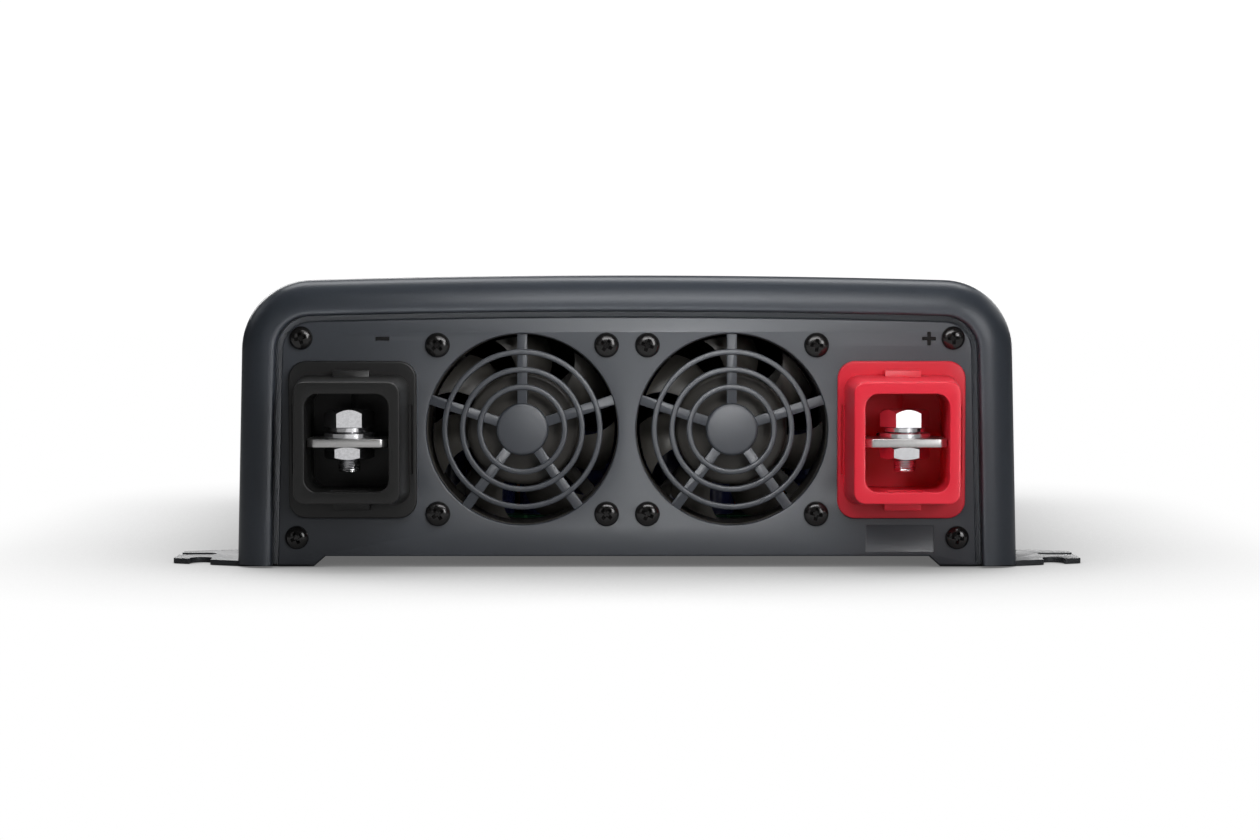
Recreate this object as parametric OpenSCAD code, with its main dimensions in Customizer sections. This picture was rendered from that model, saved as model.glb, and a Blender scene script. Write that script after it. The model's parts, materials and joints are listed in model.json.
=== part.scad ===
// Power inverter: a rounded sheet cover between two moulded end bezels, on a flat base plate with
// four slotted tabs. The DC end (-Y) has two fans and two shrouded screw terminals. The AC end (+Y)
// has two outlets, the switch, the breaker, the remote port, the earth stud and the exhaust slots.
// Millimetres. +Z is up, z = 0 is the underside of the tabs, and X = 0 is the plane of symmetry.

/* [Body] */
// Width of the cover at its foot
body_w = 278.2; // [274:0.2:282]
// Height of the crown of the cover above the mounting face
body_h = 103.9; // [102:0.1:106]
// Length from one rim to the other
body_l = 360; // [340:5:400]
// Outer radius of the long edges of the cover
corner_r = 25; // [23:0.5:26]
// Radius of the shallow crown across the top
crown_r = 3900; // [3000:100:6000]
// Lean of the sides away from vertical, in degrees
side_lean = 1.4; // [0.8:0.1:1.6]
// Thickness of the cover sheet
cover_t = 2; // [1.5:0.1:2.2]

/* [End bezels] */
// Width of the rim seen from the end
rim_w = 12.8; // [11.5:0.1:13]
// Depth of the convex front of the rim
rim_bulge = 8.5; // [6:0.5:10]
// How far the rim stands in front of the panel
lip_v = 3.5; // [2.5:0.1:5]
// Thickness of the end panels
panel_t = 3; // [2.5:0.1:3.1]

/* [Fans] */
// Distance from the middle of the panel to each fan axis
fan_x = 37.25; // [36.5:0.25:38]
// Height of the fan axes
fan_z = 49.2; // [48:0.2:51]
// Spacing of the screws of a fan
fan_pitch = 60; // [59:0.5:60.5]
// Diameter of the opening in front of a fan
fan_open_d = 68.1; // [66:0.1:68.3]

/* [Terminals] */
// Distance from the middle of the panel to each terminal
term_x = 97.3; // [97:0.1:98]
// Height of the middle of each terminal
term_z = 45.7; // [44:0.1:47]
// How far the front of a terminal cap stands in front of the panel
cap_v = 25; // [24:0.5:28]
// Thickness of a bus bar
bar_t = 3; // [2.5:0.1:3]

/* [Mounting tabs] */
// Thickness of the base plate
plate_t = 2; // [1.6:0.1:2]
// Distance from the middle to the tip of each tab
tab_x = 164.1; // [162:0.1:166]
// Length of a tab where it leaves the body
tab_l = 45.7; // [44:0.1:48]
// Width of the notch that is open to the end of the body
notch_w = 7.8; // [7:0.1:8]
// Width of the slot that is open to the side
slot_w = 6.6; // [6:0.1:7]

/* [Hidden] */

// Places along the body. A panel face is v = 0 at its own end, and v grows outwards.
stud_v = 16;
overall_l = cap_v + body_l - 2 * lip_v + stud_v;
dc_y = -overall_l / 2 + cap_v;
ac_y = overall_l / 2 - stud_v;

// Heights
foot_z = 1;
rail_gap = 0.15;
cover_foot_z = plate_t + rail_gap;
floor_z = 4;
floor_top = floor_z + plate_t;
rail_x = 112;

// Outline of the cover. The sides lean outwards by side_draft between the corner and the foot
side_draft = (body_h - corner_r - cover_foot_z) * tan(side_lean);
corner_x = body_w / 2 - corner_r - side_draft;
crown_z = body_h - crown_r;
corner_z = crown_z + sqrt(pow(crown_r - corner_r, 2) - pow(corner_x, 2));
corner_end = atan2(corner_z - crown_z, corner_x);
corner_steps = 10;
crown_steps = 12;

// Base plate and its tabs
base_screw_x = 126;
base_screw_y = [for (f = [0.08, 0.36, 0.64, 0.92]) dc_y + (ac_y - dc_y) * f];
countersink_r = 3.4;
countersink_d = 1.6;
tab_near = 10.4;
tab_far = 37.7;
tab_corner_r = 2;
notch_x = 153.9;
notch_end = 14.3;
slot_in_x = 150.7;
slot_y = 27.2;
cover_flange_x = 116;

// Bezel
bezel_d = 16;
pocket_v = -8;
ledge_inset = 19;
wall_inset = 3;
tongue_gap = 0.2;
tongue_l = 8;
plate_start_v = lip_v - 8;
boss_r = 5;
bevel_steps = 5;
slice_t = 0.02;
tongue_t = 2;

// End panels
panel_inset = rim_w + 2;
panel_gap = 0.2;
foot_in_x = 111.3;
foot_top_x = 107.7;
panel_foot_z = 0.9;
arch_z = 4.05;
top_screw_x = 115.7;
top_screw_z = 81.7;
low_screw_x = 117.5;
low_screw_z = 10.7;
corner_screws = [[-top_screw_x, top_screw_z], [top_screw_x, top_screw_z],
                 [-low_screw_x, low_screw_z], [low_screw_x, low_screw_z]];
screw_shank_r = 1.6;
screw_fit = 0.05;
screw_clear = 0.5;
head_r = 4.2;
head_h = 2.6;

// Fan grille
ring_radii = [27.6, 21.3, 15.1];
ring_w = 2;
disc_r = 9.3;
spoke_w = 3.6;
spokes = 5;
grille_set = 0.8;

// Fans
fan_size = 70;
fan_d = 25;
fan_corner_r = 5;
fan_bore_r = fan_open_d / 2 - 0.25;
fan_back_v = -panel_t - panel_gap;
blade_tip_r = fan_bore_r - 0.9;
hub_r = 20;
hub_v = fan_back_v - 2.5;
hub_h = 17;
hub_wall = 2.2;
boss_fan_r = 15.5;
shaft_r = 1.5;
shaft_fit = 0.05;
blades = 7;
blade_pitch = 38;
blade_chord = 17;
blade_t = 1.6;
strut_w = 5;
strut_t = 3;

// Terminal housing and cap
flange_w = 45.3;
flange_h = 55.8;
flange_t = 3;
flange_r = 6.2;
window_w = 29.2;
window_h = 34.1;
window_r = 4.5;
cap_gap = 0.3;
cap_base_w = 40.6;
cap_base_h = 45.8;
cap_front_w = 37.1;
cap_front_h = 42.5;
cap_base_r = 5;
cap_front_r = 4;
throat_w = 33.6;
throat_h = 38.6;
back_v = -6;
back_t = 2;
port_fit = 0.8;
groove = [2.6, 9, 0.8];
latch_w = 12.9;
latch_in = 21;
latch_out = 24.8;
latch_l = 5;
grip_l = 24.8;
grip_w = 1.2;
grip_v = 1.5;

// Bus bar and its M8 stack
bar_z = 44;
bar_w = 28.6;
bar_tip_w = 24;
bar_tip_v = 23;
bar_neck_w = 15;
bar_root_v = -36;
bar_foot_l = 22;
bolt_v = 14;
bolt_r = 4;
hex_af = 15.2;
hex_r = hex_af / 2 / cos(30);
bolt_head_h = 6.2;
flat_washer_t = 1.9;
flat_washer_r = 9;
spring_washer_t = 2;
spring_washer_r = 7.2;
nut_h = 4.3;
thread_end_z = 35.3;
thread_gap = 0.1;
bar_top_z = bar_z + bar_t;
bar_screw_y = dc_y - bar_root_v + 14;
latch_slot = [12.7, 2.6, 5];

// AC end, in that end's own frame: x to the right when it is faced, y up
outlet_x = [-88, -34];
outlet_z = 52;
outlet_flange = 50;
outlet_recess_r = 19.75;
outlet_recess_d = 17.5;
outlet_body_r = 23;
outlet_body_d = 34;
outlet_flange_t = 3;
pin_pitch = 19;
pin_hole_r = 2.6;
outlet_screw_dx = 20.5;
switch_x = 93;
switch_z = 66;
switch_w = 27.6;
switch_h = 19.2;
rocker_w = 18;
rocker_h = 13;
rocker_tilt = 8;
breaker_x = 78;
breaker_z = 20;
button_r = 3.1;
button_fit = 0.07;
light_x = [70, 76, 82];
light_z = 80;
light_r = 1.5;
remote_x = 93;
remote_z = 43;
earth_x = 105;
earth_z = 20;
vent_x0 = 8;
vent_pitch = 7.6;
vent_count = 7;
vent_w = 4;
vent_h = 24;
vent_rows = [28, 60];
baffle_x = [3, 60];
baffle_z = [13, 76];
baffle_v = -20;
baffle_t = 1.5;

// Inside
board_w = 212;
board_y0 = dc_y + 40;
board_y1 = ac_y - 42;
board_z = floor_top + 8;
board_t = 1.6;
board_top = board_z + board_t;
standoff_r = 3.5;
board_fix = [for (x = [-96, 0, 96]) for (f = [0.13, 0.5, 0.96])
  [x, board_y0 + (board_y1 - board_y0) * f]];
sink_x = 74;
sink_l = 168;
sink_h = 58;
sink_wall = 5;
fin_t = 1.6;
fin_l = 13;
fin_count = 9;
sink_y = board_y0 + 48;
transistor_count = 7;
trafo_y = [for (k = [0 : 2]) sink_y + 24 + 54 * k];
trafo_core = [44, 40, 36];
trafo_wind_r = 16;
in_cap_r = 8;
in_cap_h = 31;
out_cap_r = 14;
out_cap_h = 46;
choke_r = 24;
sides_lead = 8;

function arc(c, r, a0, a1, n, k0 = 0, k1 = 0) =
  [for (k = [k0 : n - k1]) let (a = a0 + (a1 - a0) * k / n) [c[0] + r * cos(a), c[1] + r * sin(a)]];

function side_at(inset, z) = corner_x + (corner_r - inset) * cos(side_lean)
  + (corner_z + (corner_r - inset) * sin(side_lean) - z) * tan(side_lean);

// The rounded U of the cover, moved inwards by inset and cut off flat at height foot
function outline(inset, foot) = concat(
  [[side_at(inset, foot), foot]],
  arc([corner_x, corner_z], corner_r - inset, side_lean, corner_end, corner_steps),
  arc([0, crown_z], crown_r - inset, corner_end, 180 - corner_end, crown_steps, 1, 1),
  arc([-corner_x, corner_z], corner_r - inset, 180 - corner_end, 180 - side_lean, corner_steps),
  [[-side_at(inset, foot), foot]]);

module dc_end() translate([0, dc_y, 0]) rotate([90, 0, 0]) children();
module ac_end() translate([0, ac_y, 0]) rotate([90, 0, 180]) children();

module slab(points, v0, v1) translate([0, 0, v0]) linear_extrude(v1 - v0) polygon(points);

module rod(r, v0, v1) translate([0, 0, v0]) cylinder(r = r, h = v1 - v0);

module block(w, h, v0, v1) translate([-w / 2, -h / 2, v0]) cube([w, h, v1 - v0]);

// Rounded rectangle made of squares and circles, so that its corners stay true arcs
module round_rect(w, h, r) {
  square([w - 2 * r, h], center = true);
  square([w, h - 2 * r], center = true);
  for (x = [-1, 1], y = [-1, 1]) translate([x * (w / 2 - r), y * (h / 2 - r)]) circle(r);
}

module pad(w, h, r, v0, v1) translate([0, 0, v0]) linear_extrude(v1 - v0) round_rect(w, h, r);

// Pan head screw with a cross recess, head up from z = 0 and shank down
module pan_screw(r, h, shank, length) {
  dome_r = r * r / (1.1 * h);
  cross_w = r * 0.28;
  cross_d = h * 0.55;
  difference() {
    union() {
      intersection() {
        translate([0, 0, h - dome_r]) sphere(dome_r);
        cylinder(r = r, h = h);
      }
      rod(shank, -length, 0.01);
    }
    for (a = [0, 90]) rotate(a)
      translate([-r * 0.55, -cross_w / 2, h - cross_d]) cube([r * 1.1, cross_w, cross_d + 1]);
  }
}

module hex(h) cylinder(r = hex_r, h = h, $fn = 6);

// Round lead swept along a smoothed list of points
function mid(a, b) = (a + b) / 2;
function bend(a, b, c, n) = [for (k = [0 : n]) let (t = k / n)
  (1 - t) * (1 - t) * mid(a, b) + 2 * t * (1 - t) * b + t * t * mid(b, c)];
function smooth(p, n) = concat([p[0]],
  [for (i = [1 : len(p) - 2]) each bend(p[i - 1], p[i], p[i + 1], n)], [p[len(p) - 1]]);
function unit(v) = v / norm(v);
function tangent(p, i) = unit(p[min(i + 1, len(p) - 1)] - p[max(i - 1, 0)]);
function ring(c, t, r) =
  let (u = unit(cross(t, abs(t[2]) < 0.9 ? [0, 0, 1] : [1, 0, 0])), w = cross(t, u))
  [for (k = [0 : sides_lead - 1]) let (a = 360 * k / sides_lead) c + r * (cos(a) * u + sin(a) * w)];
module lead(route, r, n = 4) {
  p = smooth(route, n);
  m = sides_lead;
  points = [for (i = [0 : len(p) - 1]) each ring(p[i], tangent(p, i), r)];
  walls = [for (i = [0 : len(p) - 2], k = [0 : m - 1])
    let (a = i * m + k, b = i * m + (k + 1) % m) each [[a, a + m, b + m], [a, b + m, b]]];
  first = [for (k = [0 : m - 1]) k];
  last = [for (k = [m - 1 : -1 : 0]) (len(p) - 1) * m + k];
  polyhedron(points, concat(walls, [first, last]), convexity = 10);
}

// ---- Shell ----

module cover_ring(v0, v1) {
  difference() {
    slab(outline(0, cover_foot_z), v0, v1);
    slab(outline(cover_t, -1), v0 - 1, v1 + 1);
  }
}

module top_cover() color([0.24, 0.26, 0.29]) {
  y0 = dc_y + bezel_d;
  y1 = ac_y - bezel_d;
  difference() {
    union() {
      dc_end() cover_ring(-(y1 - dc_y), -bezel_d);
      for (s = [-1, 1]) translate([s > 0 ? cover_flange_x : -side_at(1, 3), y0, cover_foot_z])
        cube([side_at(1, 3) - cover_flange_x, y1 - y0, cover_t]);
    }
    for (x = [-base_screw_x, base_screw_x], y = base_screw_y)
      translate([x, y, 0]) rod(screw_shank_r + screw_fit, 0, 10);
  }
}

// Convex front of the rim: slices that shrink as they come forward
function rim_inset(k) = rim_w * (1 - cos(90 * k / bevel_steps));
function rim_v(k) = lip_v - rim_bulge * (1 - sin(90 * k / bevel_steps));

module bezel_shell() difference() {
  union() {
    slab(outline(0, foot_z), -bezel_d, rim_v(0));
    for (k = [0 : bevel_steps - 1]) hull() {
      slab(outline(rim_inset(k), foot_z), rim_v(k) - slice_t, rim_v(k));
      slab(outline(rim_inset(k + 1), foot_z), rim_v(k + 1) - slice_t, rim_v(k + 1));
    }
  }
  slab(outline(rim_w, -1), -panel_t - panel_gap, lip_v + 1);
  slab(outline(ledge_inset, -1), -bezel_d - 1, 0);
  slab(outline(wall_inset, -1), -bezel_d - 1, pocket_v);
  translate([-body_w / 2 - 1, -1, -bezel_d - 1])
    cube([body_w + 2, cover_foot_z + 1, bezel_d + 1 + plate_start_v + panel_gap]);
}

// Tongue that slides inside the end of the cover
module bezel_tongue() difference() {
  slab(outline(cover_t + tongue_gap, cover_foot_z), -bezel_d - tongue_l, pocket_v);
  slab(outline(cover_t + tongue_gap + tongue_t, -1), -bezel_d - tongue_l - 1, pocket_v + 1);
  block(2 * body_w, 2 * (cover_foot_z + cover_t + tongue_gap), -bezel_d - tongue_l - 1, -bezel_d);
}

module bezel() difference() {
  union() {
    bezel_shell();
    bezel_tongue();
    for (p = corner_screws) translate(p) rod(boss_r, -bezel_d, -panel_t - panel_gap);
  }
  for (p = corner_screws) translate(p) rod(screw_shank_r + screw_fit, -bezel_d - 1, 0);
}

module dc_end_bezel() color([0.24, 0.26, 0.29]) dc_end() bezel();
module ac_end_bezel() color([0.24, 0.26, 0.29]) ac_end() bezel();

module tab_shape() difference() {
  offset(r = tab_corner_r) offset(delta = -tab_corner_r) polygon([
    [side_at(cover_t, 2), 0], [side_at(0, 2), 0], [tab_x, tab_near], [tab_x, tab_far],
    [side_at(0, 2), tab_l], [side_at(cover_t, 2), tab_l]]);
  translate([notch_x, notch_end - notch_w / 2]) {
    circle(notch_w / 2);
    translate([-notch_w / 2, -20]) square([notch_w, 20]);
  }
  translate([slot_in_x + slot_w / 2, slot_y]) {
    circle(slot_w / 2);
    translate([0, -slot_w / 2]) square([20, slot_w]);
  }
}

module base_plate() color([0.3, 0.32, 0.35]) {
  y0 = dc_y - plate_start_v;
  y1 = ac_y + plate_start_v;
  edge = side_at(0, 2);
  section = [[-edge, 0], [-rail_x, 0], [-rail_x + floor_z, floor_z], [rail_x - floor_z, floor_z],
    [rail_x, 0], [edge, 0], [edge, plate_t], [rail_x + 0.8, plate_t],
    [rail_x - floor_z + 0.8, floor_top], [-rail_x + floor_z - 0.8, floor_top],
    [-rail_x - 0.8, plate_t], [-edge, plate_t]];
  difference() {
    union() {
      translate([0, y1, 0]) rotate([90, 0, 0]) linear_extrude(y1 - y0) polygon(section);
      for (s = [0, 1], e = [0, 1]) mirror([s, 0, 0])
        translate([0, e == 0 ? y0 : y1, 0]) mirror([0, e, 0]) linear_extrude(plate_t) tab_shape();
    }
    for (x = [-base_screw_x, base_screw_x], y = base_screw_y)
      translate([x, y, 0]) {
        rod(screw_shank_r + screw_clear, -1, 5);
        translate([0, 0, -0.01]) cylinder(r1 = countersink_r, r2 = 1.9, h = countersink_d);
      }
    for (p = board_fix) translate([p[0], p[1], 0]) rod(1.3, 0, 10);
  }
}

module base_screws() color([0.1, 0.1, 0.1])
  for (x = [-base_screw_x, base_screw_x], y = base_screw_y) translate([x, y, 0.1]) {
    difference() {
      cylinder(r1 = countersink_r - 0.2, r2 = screw_shank_r, h = countersink_d);
      for (a = [0, 90]) rotate(a) translate([-2, -0.5, -1]) cube([4, 1, 1.7]);
    }
    rod(screw_shank_r, 1.5, 8);
  }

// ---- DC end panel ----

module panel_plate() slab(concat(outline(panel_inset, panel_foot_z),
  [[-foot_in_x, panel_foot_z], [-foot_top_x, arch_z], [foot_top_x, arch_z],
   [foot_in_x, panel_foot_z]]), -panel_t, 0);

module grille() {
  for (r = ring_radii) difference() {
    rod(r + ring_w / 2, -panel_t + grille_set, -0.2);
    rod(r - ring_w / 2, -panel_t, 0);
  }
  rod(disc_r, -panel_t, 0);
  for (k = [0 : spokes - 1]) rotate(90 + 360 * k / spokes)
    translate([disc_r - 1, -spoke_w / 2, -panel_t])
      cube([fan_open_d / 2 - disc_r + 1.5, spoke_w, panel_t - grille_set]);
}

module fan_places() for (s = [-1, 1]) translate([s * fan_x, fan_z, 0]) children();

module fan_screw_places() fan_places()
  for (x = [-1, 1], y = [-1, 1]) translate([x * fan_pitch / 2, y * fan_pitch / 2, 0]) children();

module dc_end_panel() color([0.22, 0.24, 0.27]) dc_end() {
  label = [24.5, 10, 0.6];
  mark_t = 0.5;
  difference() {
    panel_plate();
    fan_places() rod(fan_open_d / 2, -panel_t - 1, 1);
    fan_screw_places() rod(screw_shank_r + screw_clear, -panel_t - 1, 1);
    for (p = corner_screws) translate(p) rod(screw_shank_r + screw_clear, -panel_t - 1, 1);
    for (s = [-1, 1]) translate([s * term_x, term_z, 0])
      pad(throat_w + 0.4, throat_h + 0.4, window_r + 1.7, -panel_t - 1, 1);
    translate([84.8, 5.3, -label[2]]) cube(label + [0, 0, 1]);
    // Debossed polarity signs: a minus, and a plus
    translate([-86.8, 81.5, 0]) block(4, 1.2, -mark_t, 1);
    translate([107.2, 81.5, 0]) for (a = [0, 90]) rotate(a) block(4.6, 1.2, -mark_t, 1);
  }
  fan_places() grille();
}

module fan_screws() color([0.06, 0.06, 0.07]) dc_end() fan_screw_places()
  pan_screw(head_r, head_h, screw_shank_r, 18);

module dc_panel_screws() color([0.06, 0.06, 0.07]) dc_end()
  for (p = corner_screws) translate(p) pan_screw(head_r, head_h, screw_shank_r, 12);

module ac_panel_screws() color([0.06, 0.06, 0.07]) ac_end()
  for (p = corner_screws) translate(p) pan_screw(head_r, head_h, screw_shank_r, 12);

// ---- Terminals ----

module terminal_housing(s) dc_end() translate([s * term_x, term_z, 0]) {
  difference() {
    union() {
      pad(flange_w, flange_h, flange_r, 0, flange_t);
      pad(throat_w, throat_h, window_r + 1.5, back_v - back_t, 0.01);
    }
    pad(window_w, window_h, window_r, back_v, flange_t + 1);
    // Port for the neck of the bus bar, and a moulded groove above it
    translate([0, bar_z + bar_t / 2 - term_z, 0])
      block(bar_neck_w + 2 * port_fit, bar_t + 2 * port_fit, back_v - back_t - 1, 0);
    translate([0, (window_h - groove[1]) / 2, 0]) block(groove[0], groove[1], back_v - groove[2], 0);
  }
  // Hooks that snap behind the panel
  for (x = [-1, 1]) translate([x * throat_w / 2, 0, 0])
    block(2.4, 8, -panel_t - 2.2, -panel_t - panel_gap);
}

module terminal_cap(s) dc_end() translate([s * term_x, term_z, 0]) {
  base_v = flange_t + cap_gap;
  difference() {
    hull() {
      pad(cap_base_w, cap_base_h, cap_base_r, base_v, base_v + 0.4, $fn = 32);
      pad(cap_front_w, cap_front_h, cap_front_r, cap_v - 0.4, cap_v, $fn = 32);
    }
    pad(window_w, window_h, window_r, base_v - 1, cap_v + 1);
    // Slot in the floor of the window, and a finger groove along each side of the foot
    translate([0, -window_h / 2, 0])
      block(latch_slot[0], 2 * latch_slot[1], cap_v - 4 - latch_slot[2], cap_v - 4);
    for (x = [-1, 1]) translate([x * cap_base_w / 2, 0, 0])
      block(2 * grip_w, grip_l, base_v - 1, base_v + grip_v);
  }
  for (y = [-1, 1]) translate([0, y * (latch_in + latch_out) / 2, 0])
    block(latch_w, latch_out - latch_in, base_v, base_v + latch_l);
}

module negative_terminal_housing() color([0.1, 0.1, 0.1]) terminal_housing(-1);
module positive_terminal_housing() color([0.85, 0.12, 0.18]) terminal_housing(1);
module negative_terminal_cap() color([0.13, 0.13, 0.13]) terminal_cap(-1);
module positive_terminal_cap() color([0.88, 0.14, 0.2]) terminal_cap(1);

module bus_bar(s) translate([s * term_x, dc_y, 0]) {
  tip_chamfer = (bar_w - bar_tip_w) / 2;
  shoulder_v = -1.5;
  flat = [[-bar_tip_w / 2, bar_tip_v], [bar_tip_w / 2, bar_tip_v], [bar_w / 2, bar_tip_v - tip_chamfer],
    [bar_w / 2, shoulder_v], [bar_neck_w / 2, shoulder_v], [bar_neck_w / 2, bar_root_v],
    [-bar_neck_w / 2, bar_root_v], [-bar_neck_w / 2, shoulder_v], [-bar_w / 2, shoulder_v],
    [-bar_w / 2, bar_tip_v - tip_chamfer]];
  difference() {
    translate([0, 0, bar_z]) linear_extrude(bar_t) mirror([0, 1]) polygon(flat);
    translate([0, -bolt_v, 0]) rod(bolt_r + 0.3, bar_z - 1, bar_top_z + 1);
  }
  // The bar turns down to the board and out again to a screwed foot
  translate([-bar_neck_w / 2, -bar_root_v - bar_t, board_top])
    cube([bar_neck_w, bar_t, bar_z - board_top + 1]);
  difference() {
    translate([-bar_neck_w / 2, -bar_root_v - 1, board_top]) cube([bar_neck_w, bar_foot_l, bar_t]);
    translate([0, bar_screw_y - dc_y, board_top]) rod(screw_shank_r + screw_clear, -1, bar_t + 1);
  }
}

module negative_bus_bar() color([0.75, 0.75, 0.77]) bus_bar(-1);
module positive_bus_bar() color([0.75, 0.75, 0.77]) bus_bar(1);

module terminal_axes() for (s = [-1, 1]) translate([s * term_x, dc_y - bolt_v, 0]) children();

module terminal_bolts() color([0.8, 0.8, 0.82]) terminal_axes() {
  head_z = bar_top_z + flat_washer_t + spring_washer_t;
  translate([0, 0, head_z]) rotate(5) hex(bolt_head_h);
  rod(bolt_r, thread_end_z, head_z + 0.01);
}

module washer(r, t) difference() {
  cylinder(r = r, h = t);
  translate([0, 0, -1]) cylinder(r = bolt_r + thread_gap, h = t + 2);
}

module terminal_flat_washers() color([0.8, 0.8, 0.82]) terminal_axes()
  translate([0, 0, bar_top_z]) washer(flat_washer_r, flat_washer_t);

module terminal_spring_washers() color([0.75, 0.75, 0.77]) terminal_axes()
  translate([0, 0, bar_top_z + flat_washer_t]) difference() {
    washer(spring_washer_r, spring_washer_t);
    rotate(-60) translate([0, -0.3, -1]) cube([spring_washer_r + 1, 0.6, spring_washer_t + 2]);
  }

module terminal_nuts() color([0.8, 0.8, 0.82]) terminal_axes()
  translate([0, 0, bar_z - nut_h]) difference() {
    hex(nut_h);
    translate([0, 0, -1]) cylinder(r = bolt_r + thread_gap, h = nut_h + 2);
  }

// ---- Fans ----

module fan_frame(s) dc_end() translate([s * fan_x, fan_z, fan_back_v]) {
  difference() {
    pad(fan_size, fan_size, fan_corner_r, -fan_d, 0);
    rod(fan_bore_r, -fan_d - 1, 1);
    for (x = [-1, 1], y = [-1, 1]) translate([x * fan_pitch / 2, y * fan_pitch / 2, 0])
      rod(screw_shank_r + screw_fit, -fan_d - 1, 1);
  }
  difference() {
    union() {
      rod(boss_fan_r, -fan_d, -fan_d + strut_t);
      rod(5, -fan_d, -9);
      for (a = [45 : 90 : 315]) rotate(a) translate([boss_fan_r - 1, -strut_w / 2, -fan_d])
        cube([fan_bore_r - boss_fan_r + 2, strut_w, strut_t]);
    }
    rod(shaft_r + shaft_fit, -fan_d + 1, 0);
  }
}

module fan_rotor(s) dc_end() translate([s * fan_x, fan_z, hub_v]) {
  difference() {
    rod(hub_r, -hub_h, 0);
    rod(hub_r - hub_wall, -hub_h - 1, -hub_wall);
  }
  rod(shaft_r, -hub_h - 1, -hub_wall + 0.01);
  intersection() {
    for (k = [0 : blades - 1]) rotate(360 * k / blades + 10)
      translate([(hub_r + blade_tip_r) / 2, 0, -hub_h / 2]) rotate([blade_pitch, 0, 0])
        translate([-(blade_tip_r - hub_r) / 2 - 2.4, -blade_chord / 2, -blade_t / 2])
          cube([blade_tip_r - hub_r + 6, blade_chord, blade_t]);
    difference() {
      rod(blade_tip_r, -hub_h, 0);
      rod(hub_r - 0.5, -hub_h - 1, 1);
    }
  }
}

module left_fan_frame() color([0.12, 0.12, 0.13]) fan_frame(-1);
module right_fan_frame() color([0.12, 0.12, 0.13]) fan_frame(1);
module left_fan_rotor() color([0.16, 0.15, 0.15]) fan_rotor(-1);
module right_fan_rotor() color([0.16, 0.15, 0.15]) fan_rotor(1);

// ---- AC end ----

module vent_slots() for (z = vent_rows, k = [0 : vent_count - 1])
  translate([vent_x0 + k * vent_pitch, z, 0]) pad(vent_w, vent_h, vent_w / 2 - 0.01, -panel_t - 1, 1);

module ac_end_panel() color([0.22, 0.24, 0.27]) ac_end() difference() {
  panel_plate();
  for (p = corner_screws) translate(p) rod(screw_shank_r + screw_clear, -panel_t - 1, 1);
  for (x = outlet_x) translate([x, outlet_z, 0]) {
    rod(outlet_body_r + 0.3, -panel_t - 1, 1);
    for (a = [-1, 1], b = [-1, 1]) translate([a * outlet_screw_dx, b * outlet_screw_dx, 0])
      rod(screw_fit + screw_shank_r, -panel_t - 1, 1);
  }
  translate([switch_x, switch_z, 0]) block(switch_w - 4, switch_h - 3, -panel_t - 1, 1);
  translate([breaker_x, breaker_z, 0]) rod(5.2, -panel_t - 1, 1);
  for (x = light_x) translate([x, light_z, 0]) rod(light_r + 0.1, -panel_t - 1, 1);
  translate([remote_x, remote_z, 0]) block(16.4, 14.4, -panel_t - 1, 1);
  translate([earth_x, earth_z, 0]) rod(3.2, -panel_t - 1, 1);
  vent_slots();
}

module ac_outlet(x) ac_end() translate([x, outlet_z, 0]) difference() {
  union() {
    pad(outlet_flange, outlet_flange, 4, 0, outlet_flange_t);
    rod(outlet_body_r, -outlet_body_d + outlet_flange_t, 0.01);
  }
  rod(outlet_recess_r, outlet_flange_t - outlet_recess_d, outlet_flange_t + 1);
  for (p = [-1, 1]) translate([p * pin_pitch / 2, 0, 0])
    rod(pin_hole_r, -outlet_body_d + outlet_flange_t + 4, 0);
  // Slots that hold the earth clips
  for (b = [-1, 1]) translate([0, b * (outlet_recess_r - 0.2), 0])
    block(6.4, 3.2, outlet_flange_t - outlet_recess_d - 6, outlet_flange_t - 1.5);
  for (a = [-1, 1], b = [-1, 1]) translate([a * outlet_screw_dx, b * outlet_screw_dx, 0])
    rod(screw_shank_r + screw_clear, -1, outlet_flange_t + 1);
}

module left_ac_outlet() color([0.08, 0.08, 0.09]) ac_outlet(outlet_x[0]);
module right_ac_outlet() color([0.08, 0.08, 0.09]) ac_outlet(outlet_x[1]);

module outlet_earth_clips() color([0.78, 0.68, 0.45]) ac_end()
  for (x = outlet_x, b = [0, 1]) translate([x, outlet_z, 0]) mirror([0, b, 0])
    translate([-3, outlet_recess_r - 1.6, outlet_flange_t - outlet_recess_d - 5.8])
      cube([6, 2.4, outlet_recess_d + 2]);

module outlet_screws() color([0.06, 0.06, 0.07]) ac_end()
  for (x = outlet_x, a = [-1, 1], b = [-1, 1])
    translate([x + a * outlet_screw_dx, outlet_z + b * outlet_screw_dx, outlet_flange_t])
      pan_screw(2.9, 1.9, screw_shank_r, 10);

module power_switch_frame() color([0.05, 0.05, 0.06]) ac_end() translate([switch_x, switch_z, 0])
  difference() {
    union() {
      pad(switch_w, switch_h, 2, 0, 2);
      block(switch_w - 4.4, switch_h - 3.4, -22, 0.01);
      for (a = [-6, 6]) translate([a, 0, 0]) block(1, 5, -30, -21.9);
    }
    block(rocker_w + 1, rocker_h + 0.8, -11, 3);
    for (a = [-1, 1]) translate([0, a * (rocker_h / 2 + 1), -4]) rotate([90, 0, 0])
      translate([0, 0, -1.5]) cylinder(r = 1.05, h = 3);
  }

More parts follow.
